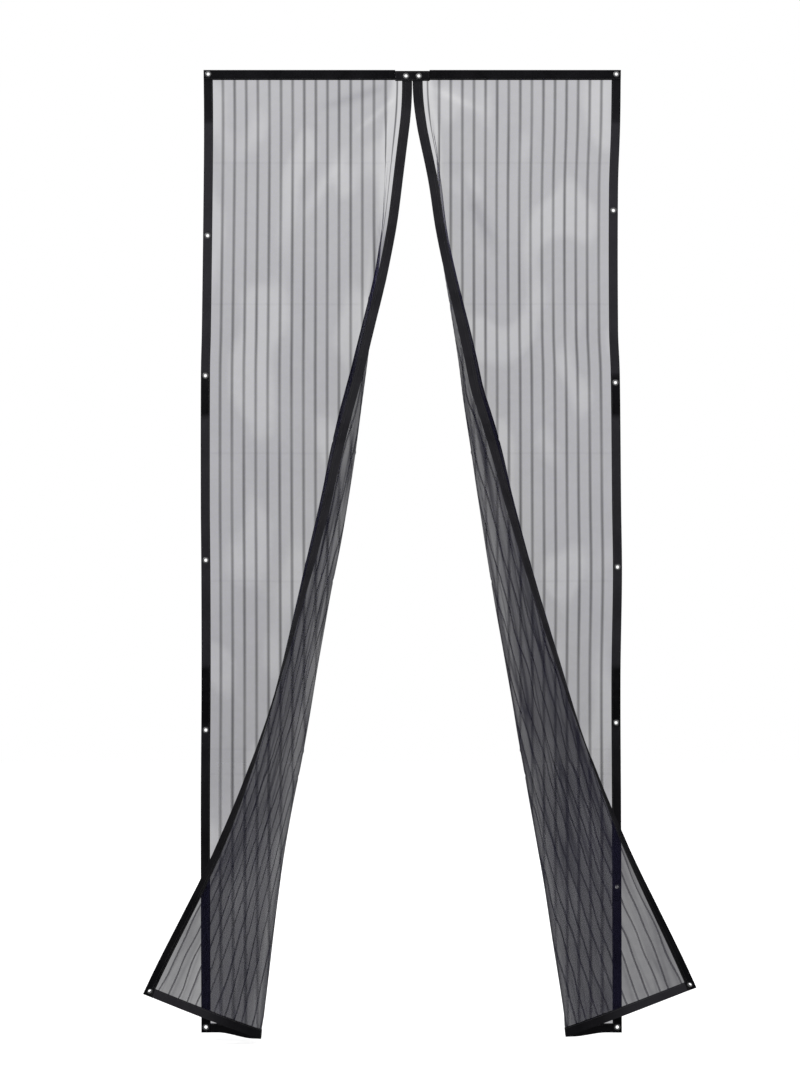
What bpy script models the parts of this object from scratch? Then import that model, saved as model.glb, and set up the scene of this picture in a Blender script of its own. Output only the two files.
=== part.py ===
"""Magnetic insect screen for a doorway, hung from its top tape and swung open at the middle.

Two panels of striped net are bound in folded black tape. They are joined at the top centre,
and each free inner edge carries a sleeve of bar magnets. Both inner edges are swung outwards
and forwards, so each net folds along a slanted line from the top centre to the hem.

Metres. +X is the viewer's right, -Y faces the viewer, +Z is up. The origin is on the back
face of the centre join, in the middle of it. "Across" runs over a panel from its outer edge
to its magnet edge, "drop" runs down from the top edge, and "lift" stands off the cloth
towards the side that faces the viewer on the flat part of the panel.
"""
import math

import bmesh
import bpy
from mathutils import Matrix, Vector

# Overall sizes
SCREEN_WIDTH = 0.912
SCREEN_HEIGHT = 2.100
FIT_GAP = 0.0003
CENTRE_GAP = 0.0005

# Net and its woven stripes
NET_THICKNESS = 0.0006
STRIPE_THICKNESS = 0.0016
STRIPE_WIDTH = 0.004
STRIPE_PITCH = 0.0254
STRIPE_INSET = 0.042
STRIPE_END_CLEARANCE = 0.002

# Folded binding tapes
TAPE_WALL = 0.0004
TAPE_ROOM = 0.0005
SIDE_TAPE_WIDTH = 0.020
HEM_TAPE_WIDTH = 0.020
HEADER_WIDTH = 0.022
SEAM_OVERLAP = 0.0055
JOIN_WIDTH = 0.075
JOIN_SAG = 0.002

# Magnet sleeve and the bars inside it
SLEEVE_WIDTH = 0.022
MAGNET_LENGTH = 0.028
MAGNET_WIDTH = 0.010
MAGNET_THICKNESS = 0.0015
MAGNET_ROOM = 0.0006
MAGNET_EDGE_INSET = 0.0018
MAGNETS_PER_SLEEVE = 14

# Eyelets
EYELET_BORE = 0.007
EYELET_WALL = 0.0004
EYELET_FLANGE = 0.0135
EYELET_FLANGE_THICKNESS = 0.0008
EYELET_BACK_RECESS = 0.0001
EYELET_SIDES = 10
EYELETS_PER_SIDE = 7
EYELET_EDGE_INSET = 0.010
EYELET_TOP_DROP = 0.009
EYELET_BOTTOM_RISE = 0.012
EYELET_CENTRE_OFFSET = 0.014

# How far each hand-punched eyelet sits below an even spacing, from the second one down
EYELET_SHIFTS = {
    "left": (0.006, -0.035, 0.021, 0.045, 0.027),
    "right": (-0.049, -0.020, 0.036, 0.029, 0.041),
}

# The fold. Stations are shares of the height below the header. The reach is the cloth beyond
# the start of the fold, as a share of the panel's width. Turns are in degrees, from flat.
FOLD_STATIONS = (0.0, 0.065, 0.16, 0.305, 0.475, 0.665, 0.83, 1.0)
FOLD_REACH = {
    "left": (0.100, 0.150, 0.180, 0.248, 0.362, 0.518, 0.658, 0.754),
    "right": (0.100, 0.140, 0.144, 0.250, 0.368, 0.513, 0.644, 0.763),
}
NET_TURN = {
    "left": (0.0, 45.0, 88.0, 152.0, 128.0, 116.0, 120.0, 146.0),
    "right": (0.0, 73.0, 158.0, 178.0, 145.0, 135.0, 137.0, 158.0),
}
SLEEVE_TURN = {
    "left": (0.0, 12.0, 20.0, 22.0, 40.0, 84.0, 130.0, 148.0),
    "right": (0.0, 12.0, 20.0, 24.0, 42.0, 72.0, 112.0, 146.0),
}
FOLD_SLANT = 11.0
FOLD_SLANT_STATION = 0.24
FOLD_RADIUS = 0.012
CURL_RADIUS = 0.015
BEND_EASE = 0.003
BEND_SHARE = 0.4
HEM_SAG = {"left": 0.0135, "right": 0.009}
SAG_START = 0.3
SAG_POWER = 3

# How far each outer edge wanders outwards in its own plane, at shares of the height
SWAY_STATIONS = (0.0, 0.057, 0.124, 0.271, 0.314, 0.452, 0.524, 0.633, 0.781, 1.0)
EDGE_SWAY = {
    "left": (-0.0004, -0.0013, -0.0004, 0.0035, 0.0055, 0.0058, 0.0046, 0.0041, 0.0058, 0.0044),
    "right": (-0.0011, -0.0026, -0.0072, -0.0070, -0.0034, -0.0004, 0.0015, -0.0018, -0.0004, 0.0011),
}

# Fineness of the meshes: a magnet lies in the middle of every second row of the net
ROWS_PER_MAGNET = 2
FLAT_ANGLE = 0.001
PROBE_STEP = 0.0001

HALF_WIDTH = SCREEN_WIDTH / 2
PANEL_WIDTH = HALF_WIDTH - CENTRE_GAP
TAPE_LIFT = NET_THICKNESS / 2 + TAPE_ROOM + TAPE_WALL / 2
TAPE_FACE = TAPE_LIFT + TAPE_WALL / 2
CHANNEL_LIFT = MAGNET_THICKNESS / 2 + MAGNET_ROOM + TAPE_WALL / 2
JOIN_BOTTOM = JOIN_SAG + HEADER_WIDTH
ORIGIN_DROP = JOIN_SAG + HEADER_WIDTH / 2
SIDES = {"left": -1, "right": 1}


def clear_scene():
    """Remove every object so that the script can be run again."""
    for item in list(bpy.data.objects):
        bpy.data.objects.remove(item, do_unlink=True)


def new_collection(name):
    """Make a collection in the scene."""
    collection = bpy.data.collections.new(name)
    bpy.context.scene.collection.children.link(collection)
    return collection


def surface_material(name, colour, roughness, metallic=0.0):
    """One plain Principled material."""
    material = bpy.data.materials.new(name)
    material.use_nodes = True
    shader = material.node_tree.nodes["Principled BSDF"]
    shader.inputs["Base Color"].default_value = colour
    shader.inputs["Roughness"].default_value = roughness
    shader.inputs["Metallic"].default_value = metallic
    shader.inputs["Alpha"].default_value = colour[3]
    return material


def smooth_value(stations, values, at):
    """Value at one place of a smooth curve through evenly read stations."""
    last = len(stations) - 2
    span = 0
    while span < last and at > stations[span + 1]:
        span += 1
    slopes = []
    for index in (span, span + 1):
        before = max(index - 1, 0)
        after = min(index + 1, last + 1)
        slopes.append((values[after] - values[before]) / (stations[after] - stations[before]))
    length = stations[span + 1] - stations[span]
    share = min(max((at - stations[span]) / length, 0.0), 1.0)
    start_weight = 2 * share ** 3 - 3 * share ** 2 + 1
    leave_weight = share ** 3 - 2 * share ** 2 + share
    arrive_weight = share ** 3 - share ** 2
    return (
        start_weight * values[span]
        + (1 - start_weight) * values[span + 1]
        + length * (leave_weight * slopes[0] + arrive_weight * slopes[1])
    )


def fold_at(side, drop):
    """Cloth beyond the fold, net turn, sleeve turn and slant of the fold, at one drop."""
    station = max(drop - JOIN_BOTTOM, 0.0) / (SCREEN_HEIGHT - JOIN_BOTTOM)
    reach = PANEL_WIDTH * smooth_value(FOLD_STATIONS, FOLD_REACH[side], station)
    net_turn = math.radians(smooth_value(FOLD_STATIONS, NET_TURN[side], station))
    sleeve_turn = math.radians(smooth_value(FOLD_STATIONS, SLEEVE_TURN[side], station))
    slant = math.radians(FOLD_SLANT) * min(station / FOLD_SLANT_STATION, 1.0)
    return reach, net_turn, sleeve_turn, slant


def arc_step(from_turn, to_turn, length):
    """Inward and forward travel of cloth that turns evenly over a length."""
    change = to_turn - from_turn
    if abs(change) < 1e-6:
        return length * math.cos(from_turn), length * math.sin(from_turn)
    radius = length / change
    inward = radius * (math.sin(to_turn) - math.sin(from_turn))
    forward = radius * (math.cos(from_turn) - math.cos(to_turn))
    return inward, forward


def fold_sag(side, across, drop, reach):
    """How far the net sags beside its fold, most at the hem and none at its two edges."""
    crease = PANEL_WIDTH - reach
    if across < crease:
        part = max((across / crease - SAG_START) / (1 - SAG_START), 0.0)
        share = part ** 2 * (3 - 2 * part)
    else:
        share = math.sin((PANEL_WIDTH - across) / reach * math.pi / 2)
    return HEM_SAG[side] * (drop / SCREEN_HEIGHT) ** SAG_POWER * share


def edge_sway(side, across, drop, reach):
    """How far the cloth is out of line in its own plane, most at the outer edge and none at the fold."""
    share = min(across / (PANEL_WIDTH - reach), 1.0)
    wander = smooth_value(SWAY_STATIONS, EDGE_SWAY[side], drop / SCREEN_HEIGHT)
    return wander * (1 - share) ** 2 * (1 + 2 * share)


def sheet_point(side, across, drop):
    """Point of a panel's middle surface as it hangs."""
    reach, net_turn, sleeve_turn, slant = fold_at(side, drop)
    past = across - (PANEL_WIDTH - reach)
    inward, forward = min(past, 0.0), 0.0
    if past > 0:
        free = reach - SLEEVE_WIDTH
        bend = min(FOLD_RADIUS * net_turn + BEND_EASE, BEND_SHARE * free)
        curl = min(CURL_RADIUS * abs(net_turn - sleeve_turn) + BEND_EASE, BEND_SHARE * free)
        runs = (
            (0.0, net_turn, bend),
            (net_turn, net_turn, free - bend - curl),
            (net_turn, sleeve_turn, curl),
            (sleeve_turn, sleeve_turn, SLEEVE_WIDTH + PROBE_STEP),
        )
        left_over = past
        for from_turn, to_turn, length in runs:
            used = min(left_over, length)
            reached = from_turn + (to_turn - from_turn) * used / length
            step_in, step_forward = arc_step(from_turn, reached, used)
            inward += step_in
            forward += step_forward
            left_over -= used
            if left_over <= 0:
                break
    rise = 0.0
    if past > 0:
        sine, cosine = math.sin(slant), math.cos(slant)
        rise = sine * cosine * (past - inward)
        inward = past * sine ** 2 + inward * cosine ** 2
        forward *= cosine
    offset = reach + CENTRE_GAP - inward + edge_sway(side, across, drop, reach)
    height = ORIGIN_DROP - drop + rise - fold_sag(side, across, drop, reach)
    return Vector((SIDES[side] * offset, -TAPE_FACE - forward, height))


def sheet_frame(side, across, drop):
    """Point, direction down and front normal of a panel."""
    point = sheet_point(side, across, drop)
    near, far = across - PROBE_STEP, across + PROBE_STEP
    along = (sheet_point(side, far, drop) - sheet_point(side, near, drop)).normalized()
    top, bottom = drop - PROBE_STEP, drop + PROBE_STEP
    down = (sheet_point(side, across, bottom) - sheet_point(side, across, top)).normalized()
    normal = (along.cross(down) * SIDES[side]).normalized()
    return point, down, normal


def place(side, across, drop, lift):
    """Point that stands off a panel's middle surface by a lift."""
    point, _, normal = sheet_frame(side, across, drop)
    return point + normal * lift


def link(item, collection, material, parent):
    """Put an object in its collection with its material and parent."""
    collection.objects.link(item)
    item.parent = parent
    if material is not None:
        item.data.materials.append(material)
    return item


def grid_mesh(name, rows, doubled=""):
    """Open surface through rows of points, each quad split along the slant of the fold.

    A tape that is doubled over, along its rows or its columns, runs back in its second half,
    and its quads are split the other way there, so that both layers lie parallel to the net.
    """
    build = bmesh.new()
    grid = [[build.verts.new(point) for point in row] for row in rows]
    for row, (upper, lower) in enumerate(zip(grid, grid[1:])):
        for column in range(len(upper) - 1):
            runs_back = doubled == "rows" and row >= len(grid) // 2
            runs_back = runs_back or (doubled == "columns" and column >= len(upper) // 2)
            corners = [upper[column], lower[column], lower[column + 1], upper[column + 1]]
            if runs_back:
                corners = corners[1:] + corners[:1]
            build.faces.new((corners[0], corners[1], corners[3]))
            build.faces.new((corners[3], corners[1], corners[2]))
    bmesh.ops.recalc_face_normals(build, faces=build.faces)
    mesh = bpy.data.meshes.new(name)
    build.to_mesh(mesh)
    build.free()
    return mesh


def thicken(item, thickness):
    """Give an open strip its wall, half to each side."""
    wall = item.modifiers.new("wall", "SOLIDIFY")
    wall.thickness = thickness
    wall.offset = 0.0
    wall.use_even_offset = True
    return wall


def merge_flat_faces(item):
    """Join the faces that lie in one plane, then split them into triangles."""
    flat = item.modifiers.new("flat_faces", "DECIMATE")
    flat.decimate_type = "DISSOLVE"
    flat.angle_limit = FLAT_ANGLE
    item.modifiers.new("triangles", "TRIANGULATE")


def folded_section(width, lift):
    """Mouth-to-mouth section of a tape folded over an edge: distance from the edge, and lift."""
    front = [(width, lift), (width - SEAM_OVERLAP, lift), (lift + TAPE_WALL / 2, lift)]
    back = [(distance, -height) for distance, height in reversed(front)]
    return front + [(TAPE_WALL / 2, 0.0)] + back


def sleeve_section():
    """Section of the magnet sleeve: a wide channel at the fold and a flat stitched mouth."""
    channel_start = MAGNET_EDGE_INSET
    channel_end = MAGNET_EDGE_INSET + MAGNET_WIDTH + MAGNET_ROOM
    front = [
        (SLEEVE_WIDTH, TAPE_LIFT),
        (SLEEVE_WIDTH - SEAM_OVERLAP, TAPE_LIFT),
        (channel_end, CHANNEL_LIFT),
        (channel_start, CHANNEL_LIFT),
    ]
    back = [(distance, -height) for distance, height in reversed(front)]
    return front + [(TAPE_WALL / 2, 0.0)] + back


def net_columns():
    """Places across a panel where the net has an edge, a stripe or a bend to follow."""
    columns = [SIDE_TAPE_WIDTH - SEAM_OVERLAP, SIDE_TAPE_WIDTH]
    stripes = stripe_places()
    fold_limit = PANEL_WIDTH * (1 - max(max(FOLD_REACH[side]) for side in SIDES))
    for stripe in stripes:
        columns += [stripe - STRIPE_WIDTH / 2, stripe, stripe + STRIPE_WIDTH / 2]
        if stripe + STRIPE_PITCH > fold_limit:
            columns.append(min(stripe + STRIPE_PITCH / 2, PANEL_WIDTH - SLEEVE_WIDTH))
    columns += [PANEL_WIDTH - SLEEVE_WIDTH, PANEL_WIDTH - SLEEVE_WIDTH + SEAM_OVERLAP]
    spaced = [columns[0]]
    for column in columns[1:]:
        if column - spaced[-1] > STRIPE_WIDTH / 4:
            spaced.append(column)
    return spaced


def stripe_places():
    """Centre of each woven stripe, measured across a panel."""
    room = PANEL_WIDTH - SLEEVE_WIDTH - STRIPE_INSET - STRIPE_WIDTH / 2 - STRIPE_END_CLEARANCE
    count = int(room / STRIPE_PITCH) + 1
    return [STRIPE_INSET + STRIPE_PITCH * index for index in range(count)]


def net_drops():
    """Rows of the net, from inside the header to inside the hem."""
    first = JOIN_BOTTOM + STRIPE_END_CLEARANCE
    last = SCREEN_HEIGHT - HEM_TAPE_WIDTH - STRIPE_END_CLEARANCE
    count = ROWS_PER_MAGNET * (MAGNETS_PER_SLEEVE - 1) + 1
    inner = [first + (last - first) * index / count for index in range(count + 1)]
    top = [HEADER_WIDTH - SEAM_OVERLAP, JOIN_BOTTOM]
    bottom = [SCREEN_HEIGHT - HEM_TAPE_WIDTH, SCREEN_HEIGHT - HEM_TAPE_WIDTH + SEAM_OVERLAP]
    return top + inner + bottom


def make_net(side, collection, material, parent):
    """One panel of net, a thin wall with its woven stripes as ridges on both faces."""
    columns = net_columns()
    drops = net_drops()
    rows = [[place(side, across, drop, 0.0) for across in columns] for drop in drops]
    net = bpy.data.objects.new(f"net_{side}", grid_mesh(f"net_{side}", rows))
    link(net, collection, material, parent)
    stripes = stripe_places()
    ridge = net.vertex_groups.new(name="stripes")
    ridge_drops = range(2, len(drops) - 2)
    for column, across in enumerate(columns):
        if min(abs(across - stripe) for stripe in stripes) < FIT_GAP:
            crest = [row * len(columns) + column for row in ridge_drops]
            ridge.add(crest, 1.0, "REPLACE")
    wall = thicken(net, STRIPE_THICKNESS)
    wall.vertex_group = ridge.name
    wall.thickness_vertex_group = NET_THICKNESS / STRIPE_THICKNESS
    merge_flat_faces(net)
    return net


def make_tape(name, rows, doubled, collection, material, parent):
    """A folded tape from the rows of its middle surface."""
    tape = bpy.data.objects.new(name, grid_mesh(name, rows, doubled))
    link(tape, collection, material, parent)
    thicken(tape, TAPE_WALL)
    merge_flat_faces(tape)
    return tape


def header_rows(side):
    """Rows of the header tape of one panel, from its outer end to the centre join."""
    ends = (0.0, HALF_WIDTH - JOIN_WIDTH / 2 - FIT_GAP)
    section = folded_section(HEADER_WIDTH, TAPE_LIFT)
    return [[place(side, across, distance, lift) for across in ends] for distance, lift in section]


def join_rows():
    """Rows of the short tape that joins the two panels at the top centre."""
    ends = (-JOIN_WIDTH / 2, JOIN_WIDTH / 2)
    section = folded_section(HEADER_WIDTH, TAPE_LIFT)
    rows = []
    for distance, lift in section:
        height = ORIGIN_DROP - JOIN_SAG - distance
        rows.append([Vector((x, -TAPE_FACE - lift, height)) for x in ends])
    return rows


def side_tape_rows(side):
    """Rows of the outer side tape, from under the header to the bottom corner."""
    drops = [HEADER_WIDTH + FIT_GAP] + net_drops()[2:-2] + [SCREEN_HEIGHT]
    section = folded_section(SIDE_TAPE_WIDTH, TAPE_LIFT)
    return [[place(side, distance, drop, lift) for distance, lift in section] for drop in drops]


def hem_tape_rows(side):
    """Rows of the hem tape, which goes round the fold between side tape and sleeve."""
    start = SIDE_TAPE_WIDTH + FIT_GAP
    end = PANEL_WIDTH - SLEEVE_WIDTH - FIT_GAP
    stripes = stripe_places()
    inner = []
    for across in net_columns():
        on_crest = min(abs(across - stripe) for stripe in stripes) < FIT_GAP
        if start + FIT_GAP < across < end - FIT_GAP and not on_crest:
            inner.append(across)
    columns = [start] + inner + [end]
    section = folded_section(HEM_TAPE_WIDTH, TAPE_LIFT)
    rows = []
    for distance, lift in section:
        drop = SCREEN_HEIGHT - distance
        rows.append([place(side, across, drop, lift) for across in columns])
    return rows


def sleeve_rows(side):
    """Rows of the magnet sleeve, from under the centre join to the bottom corner."""
    inner = [drop for drop in net_drops() if drop > JOIN_BOTTOM + FIT_GAP * 2]
    drops = [JOIN_BOTTOM + FIT_GAP] + inner + [SCREEN_HEIGHT]
    section = sleeve_section()
    rows = []
    for drop in drops:
        rows.append([place(side, PANEL_WIDTH - distance, drop, lift) for distance, lift in section])
    return rows


def frame_matrix(point, down, normal):
    """Placement with local X across the panel, local Y up it and local Z off its front."""
    up = -down
    rotation = Matrix((up.cross(normal).normalized(), up, normal)).transposed()
    return Matrix.Translation(point) @ rotation.to_4x4()


def eyelet_mesh(reach_back, reach_front):
    """Turned eyelet: a thin barrel through the tape and a domed flange on its front."""
    bore = EYELET_BORE / 2
    barrel = bore + EYELET_WALL
    rim = EYELET_FLANGE / 2
    seat = reach_front + FIT_GAP
    crown = seat + EYELET_FLANGE_THICKNESS
    profile = [
        (bore, crown - EYELET_WALL),
        ((barrel + rim) / 2, crown),
        (rim, seat),
        (barrel, seat),
        (barrel, -reach_back + EYELET_BACK_RECESS),
        (bore, -reach_back + EYELET_BACK_RECESS),
    ]
    mesh = bpy.data.meshes.new("eyelet")
    edges = [(index, (index + 1) % len(profile)) for index in range(len(profile))]
    mesh.from_pydata([(radius, 0.0, height) for radius, height in profile], edges, [])
    return mesh


def make_eyelet(name, mesh, matrix, collection, material, parent):
    """One eyelet, turned about the normal of the tape that it pierces."""
    eyelet = bpy.data.objects.new(name, mesh)
    link(eyelet, collection, None, parent)
    if not mesh.materials:
        mesh.materials.append(material)
    eyelet.matrix_world = matrix
    turn = eyelet.modifiers.new("turn", "SCREW")
    turn.axis = "Z"
    turn.angle = math.tau
    turn.steps = EYELET_SIDES
    turn.render_steps = EYELET_SIDES
    turn.use_merge_vertices = False
    turn.use_smooth_shade = True
    return eyelet


def eyelet_drops(side):
    """Drops of the eyelets down one outer edge, as they were punched by hand."""
    steps = EYELETS_PER_SIDE - 1
    pitch = (SCREEN_HEIGHT - EYELET_TOP_DROP - EYELET_BOTTOM_RISE) / steps
    shifts = (0.0,) + EYELET_SHIFTS[side] + (0.0,)
    return [EYELET_TOP_DROP + pitch * index + shifts[index] for index in range(EYELETS_PER_SIDE)]


def punch(tape, matrices, cutters):
    """Cut the eyelet holes through a tape."""
    build = bmesh.new()
    for matrix in matrices:
        bmesh.ops.create_cone(
            build,
            cap_ends=True,
            segments=EYELET_SIDES,
            radius1=EYELET_BORE / 2 + EYELET_WALL + FIT_GAP,
            radius2=EYELET_BORE / 2 + EYELET_WALL + FIT_GAP,
            depth=SIDE_TAPE_WIDTH / 2,
            matrix=matrix,
        )
    mesh = bpy.data.meshes.new(f"{tape.name}_punch")
    build.to_mesh(mesh)
    build.free()
    cutter = bpy.data.objects.new(f"{tape.name}_punch", mesh)
    cutters.objects.link(cutter)
    cutter.hide_render = True
    cutter.display_type = "WIRE"
    hole = tape.modifiers.new("eyelet_holes", "BOOLEAN")
    hole.operation = "DIFFERENCE"
    hole.object = cutter
    hole.solver = "EXACT"


def flat_patch_frame(side, near, far, top, bottom):
    """Frame in the middle of the flat patch between two places across and two drops."""
    corners = [[sheet_point(side, across, drop) for across in (near, far)] for drop in (top, bottom)]
    centre = (corners[0][0] + corners[0][1] + corners[1][0] + corners[1][1]) / 4
    along = (corners[0][1] + corners[1][1] - corners[0][0] - corners[1][0]).normalized()
    down = (corners[1][0] + corners[1][1] - corners[0][0] - corners[0][1]).normalized()
    normal = (along.cross(down) * SIDES[side]).normalized()
    return centre, down, normal


def make_magnets(side, collection, material, parent):
    """The row of bar magnets inside one sleeve."""
    far = PANEL_WIDTH - MAGNET_EDGE_INSET
    near = far - MAGNET_WIDTH
    drops = net_drops()[2:-2]
    for index in range(MAGNETS_PER_SLEEVE):
        row = index * ROWS_PER_MAGNET
        build = bmesh.new()
        size = Matrix.Diagonal((MAGNET_WIDTH, MAGNET_LENGTH, MAGNET_THICKNESS, 1.0))
        bmesh.ops.create_cube(build, size=1.0, matrix=size)
        mesh = bpy.data.meshes.new(f"magnet_{side}_{index + 1}")
        build.to_mesh(mesh)
        build.free()
        magnet = bpy.data.objects.new(mesh.name, mesh)
        link(magnet, collection, material, parent)
        patch = flat_patch_frame(side, near, far, drops[row], drops[row + 1])
        magnet.matrix_world = frame_matrix(*patch)


def build_screen():
    """Make the whole screen."""
    clear_scene()
    screen = new_collection("magnetic_insect_screen")
    cutters = new_collection("cutters")
    root = bpy.data.objects.new("screen_root", None)
    screen.objects.link(root)

    net = surface_material("net", (0.10, 0.10, 0.12, 0.55), 0.8)
    binding = surface_material("binding_tape", (0.012, 0.012, 0.014, 1.0), 0.75)
    enamel = surface_material("eyelet_enamel", (0.02, 0.02, 0.022, 1.0), 0.35, 0.6)
    iron = surface_material("magnet_iron", (0.09, 0.09, 0.09, 1.0), 0.5, 0.4)

    tape_eyelet = eyelet_mesh(TAPE_FACE, TAPE_FACE)
    sleeve_face = CHANNEL_LIFT + TAPE_WALL / 2
    sleeve_eyelet = eyelet_mesh(sleeve_face, sleeve_face)

    join = make_tape("centre_join", join_rows(), "rows", screen, binding, root)
    join_holes = []
    for side, sign in SIDES.items():
        tapes = {}
        for kind, rows, doubled in (
            ("header_tape", header_rows(side), "rows"),
            ("side_tape", side_tape_rows(side), "columns"),
            ("hem_tape", hem_tape_rows(side), "rows"),
            ("magnet_sleeve", sleeve_rows(side), "columns"),
        ):
            tapes[kind] = make_tape(f"{kind}_{side}", rows, doubled, screen, binding, root)
        make_net(side, screen, net, root)
        make_magnets(side, screen, iron, root)

        outer = [
            frame_matrix(*sheet_frame(side, EYELET_EDGE_INSET, drop))
            for drop in eyelet_drops(side)
        ]
        for index, matrix in enumerate(outer):
            name = f"eyelet_{side}_{index + 1}"
            make_eyelet(name, tape_eyelet, matrix, screen, enamel, root)
        punch(tapes["header_tape"], outer[:1], cutters)
        punch(tapes["side_tape"], outer[1:], cutters)

        inner_across = HALF_WIDTH - EYELET_CENTRE_OFFSET
        inner = frame_matrix(*sheet_frame(side, inner_across, ORIGIN_DROP))
        make_eyelet(f"eyelet_{side}_centre", tape_eyelet, inner, screen, enamel, root)
        join_holes.append(inner)

        corner_drop = SCREEN_HEIGHT - EYELET_BOTTOM_RISE
        corner_across = PANEL_WIDTH - SLEEVE_WIDTH / 2
        corner = frame_matrix(*sheet_frame(side, corner_across, corner_drop))
        make_eyelet(f"eyelet_{side}_corner", sleeve_eyelet, corner, screen, enamel, root)
        punch(tapes["magnet_sleeve"], [corner], cutters)
    punch(join, join_holes, cutters)
    bpy.context.view_layer.update()


build_screen()
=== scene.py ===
"""Finish for a magnetic insect screen: two bound net panels that hang open in a doorway."""
import math

import bmesh
import bpy
import numpy as np
from bpy.props import FloatProperty, FloatVectorProperty, PointerProperty
from bpy.types import Operator, Panel, PropertyGroup
from mathutils import Matrix, Vector, noise


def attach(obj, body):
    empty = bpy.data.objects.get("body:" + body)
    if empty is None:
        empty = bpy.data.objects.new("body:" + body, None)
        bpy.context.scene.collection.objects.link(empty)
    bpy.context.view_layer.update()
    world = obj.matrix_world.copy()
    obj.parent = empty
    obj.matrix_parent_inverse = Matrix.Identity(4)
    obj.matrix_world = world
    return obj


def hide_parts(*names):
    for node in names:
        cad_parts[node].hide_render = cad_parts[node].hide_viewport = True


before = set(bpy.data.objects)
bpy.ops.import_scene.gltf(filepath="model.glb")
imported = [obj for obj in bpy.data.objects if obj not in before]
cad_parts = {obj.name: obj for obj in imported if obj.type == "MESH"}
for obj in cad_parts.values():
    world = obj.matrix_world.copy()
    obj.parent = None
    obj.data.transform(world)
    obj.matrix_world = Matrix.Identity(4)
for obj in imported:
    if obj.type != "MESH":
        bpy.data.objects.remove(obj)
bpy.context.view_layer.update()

bl_info = {
    "name": "Magnetic insect screen",
    "version": (1, 0, 0),
    "blender": (4, 5, 0),
    "location": "3D View > Sidebar > Insect screen",
    "description": "Net panels, bound edges, eyelets and stage of a doorway insect screen",
    "category": "Object",
}

# Sizes and hang of the cloth, in metres and degrees, as they are in the solid model.
SCREEN_WIDTH = 0.912
SCREEN_HEIGHT = 2.100
CENTRE_GAP = 0.0005
SEAM_GAP = 0.00002
SIDE_TAPE_WIDTH = 0.020
HEM_TAPE_WIDTH = 0.020
HEADER_WIDTH = 0.022
SEAM_OVERLAP = 0.0055
JOIN_WIDTH = 0.075
JOIN_SAG = 0.002
SLEEVE_WIDTH = 0.022
TAPE_WALL = 0.0004
TAPE_LIFT = 0.0010
TAPE_FACE = 0.0012
CHANNEL_LIFT = 0.00155
MAGNET_LENGTH = 0.028
MAGNET_WIDTH = 0.010
MAGNET_THICKNESS = 0.0015
MAGNET_CHAMFER = 0.0002
MAGNET_EDGE_INSET = 0.0018
MAGNETS_PER_SLEEVE = 14
STRIPE_PITCH = 0.0254
STRIPE_INSET = 0.042
STRIPES_PER_PANEL = 16
STRIPE_END_CLEARANCE = 0.002
EYELET_BORE = 0.007
EYELET_WALL = 0.0004
EYELET_FLANGE = 0.0135
EYELET_EDGE_INSET = 0.010
EYELET_TOP_DROP = 0.009
EYELET_BOTTOM_RISE = 0.012
EYELET_CENTRE_OFFSET = 0.014
EYELETS_PER_SIDE = 7
EYELET_SHIFTS = {
    "left": (0.006, -0.035, 0.021, 0.045, 0.027),
    "right": (-0.049, -0.020, 0.036, 0.029, 0.041),
}
FOLD_STATIONS = (0.0, 0.065, 0.16, 0.305, 0.475, 0.665, 0.83, 1.0)
FOLD_REACH = {
    "left": (0.100, 0.150, 0.180, 0.248, 0.362, 0.518, 0.658, 0.754),
    "right": (0.100, 0.140, 0.144, 0.250, 0.368, 0.513, 0.644, 0.763),
}
NET_TURN = {
    "left": (0.0, 45.0, 88.0, 152.0, 128.0, 116.0, 120.0, 146.0),
    "right": (0.0, 73.0, 158.0, 178.0, 145.0, 135.0, 137.0, 158.0),
}
SLEEVE_TURN = {
    "left": (0.0, 12.0, 20.0, 22.0, 40.0, 84.0, 130.0, 148.0),
    "right": (0.0, 12.0, 20.0, 24.0, 42.0, 72.0, 112.0, 146.0),
}
FOLD_SLANT = 11.0
FOLD_SLANT_STATION = 0.24
FOLD_RADIUS = 0.012
CURL_RADIUS = 0.015
BEND_EASE = 0.003
BEND_SHARE = 0.4
HEM_SAG = {"left": 0.0135, "right": 0.009}
SAG_START = 0.3
SAG_POWER = 3
SWAY_STATIONS = (0.0, 0.057, 0.124, 0.271, 0.314, 0.452, 0.524, 0.633, 0.781, 1.0)
EDGE_SWAY = {
    "left": (-0.0004, -0.0013, -0.0004, 0.0035, 0.0055, 0.0058, 0.0046, 0.0041, 0.0058, 0.0044),
    "right": (-0.0011, -0.0026, -0.0072, -0.0070, -0.0034, -0.0004, 0.0015, -0.0018, -0.0004, 0.0011),
}
PROBE_STEP = 0.0001
PANEL_WIDTH = SCREEN_WIDTH / 2 - CENTRE_GAP
JOIN_BOTTOM = JOIN_SAG + HEADER_WIDTH
ORIGIN_DROP = JOIN_SAG + HEADER_WIDTH / 2
SIDES = {"left": -1, "right": 1}

# How see-through one layer of net is, by its drop: where it hangs flat, and past the fold.
CLEAR_DROPS = (0.0, 0.30, 0.80, 1.07, 1.37, 1.70, 2.10)
CLEAR_SHARES = (0.50, 0.475, 0.43, 0.415, 0.375, 0.325, 0.30)
FLAP_DROPS = (0.0, 0.26, 0.56, 1.15, 1.48, 1.80, 2.10)
FLAP_SHARES = {
    "left": (0.64, 0.60, 0.36, 0.37, 0.29, 0.245, 0.235),
    "right": (0.64, 0.60, 0.36, 0.33, 0.24, 0.195, 0.185),
}
LEAST_CLEAR = 0.03
# Where the change past the fold starts and ends, from the fold, and the drops between which it sets in.
FOLD_BLUR_BEFORE = 0.004
FOLD_BLUR_AFTER = 0.010
FOLD_SHOWS = (0.30, 0.60)
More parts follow.
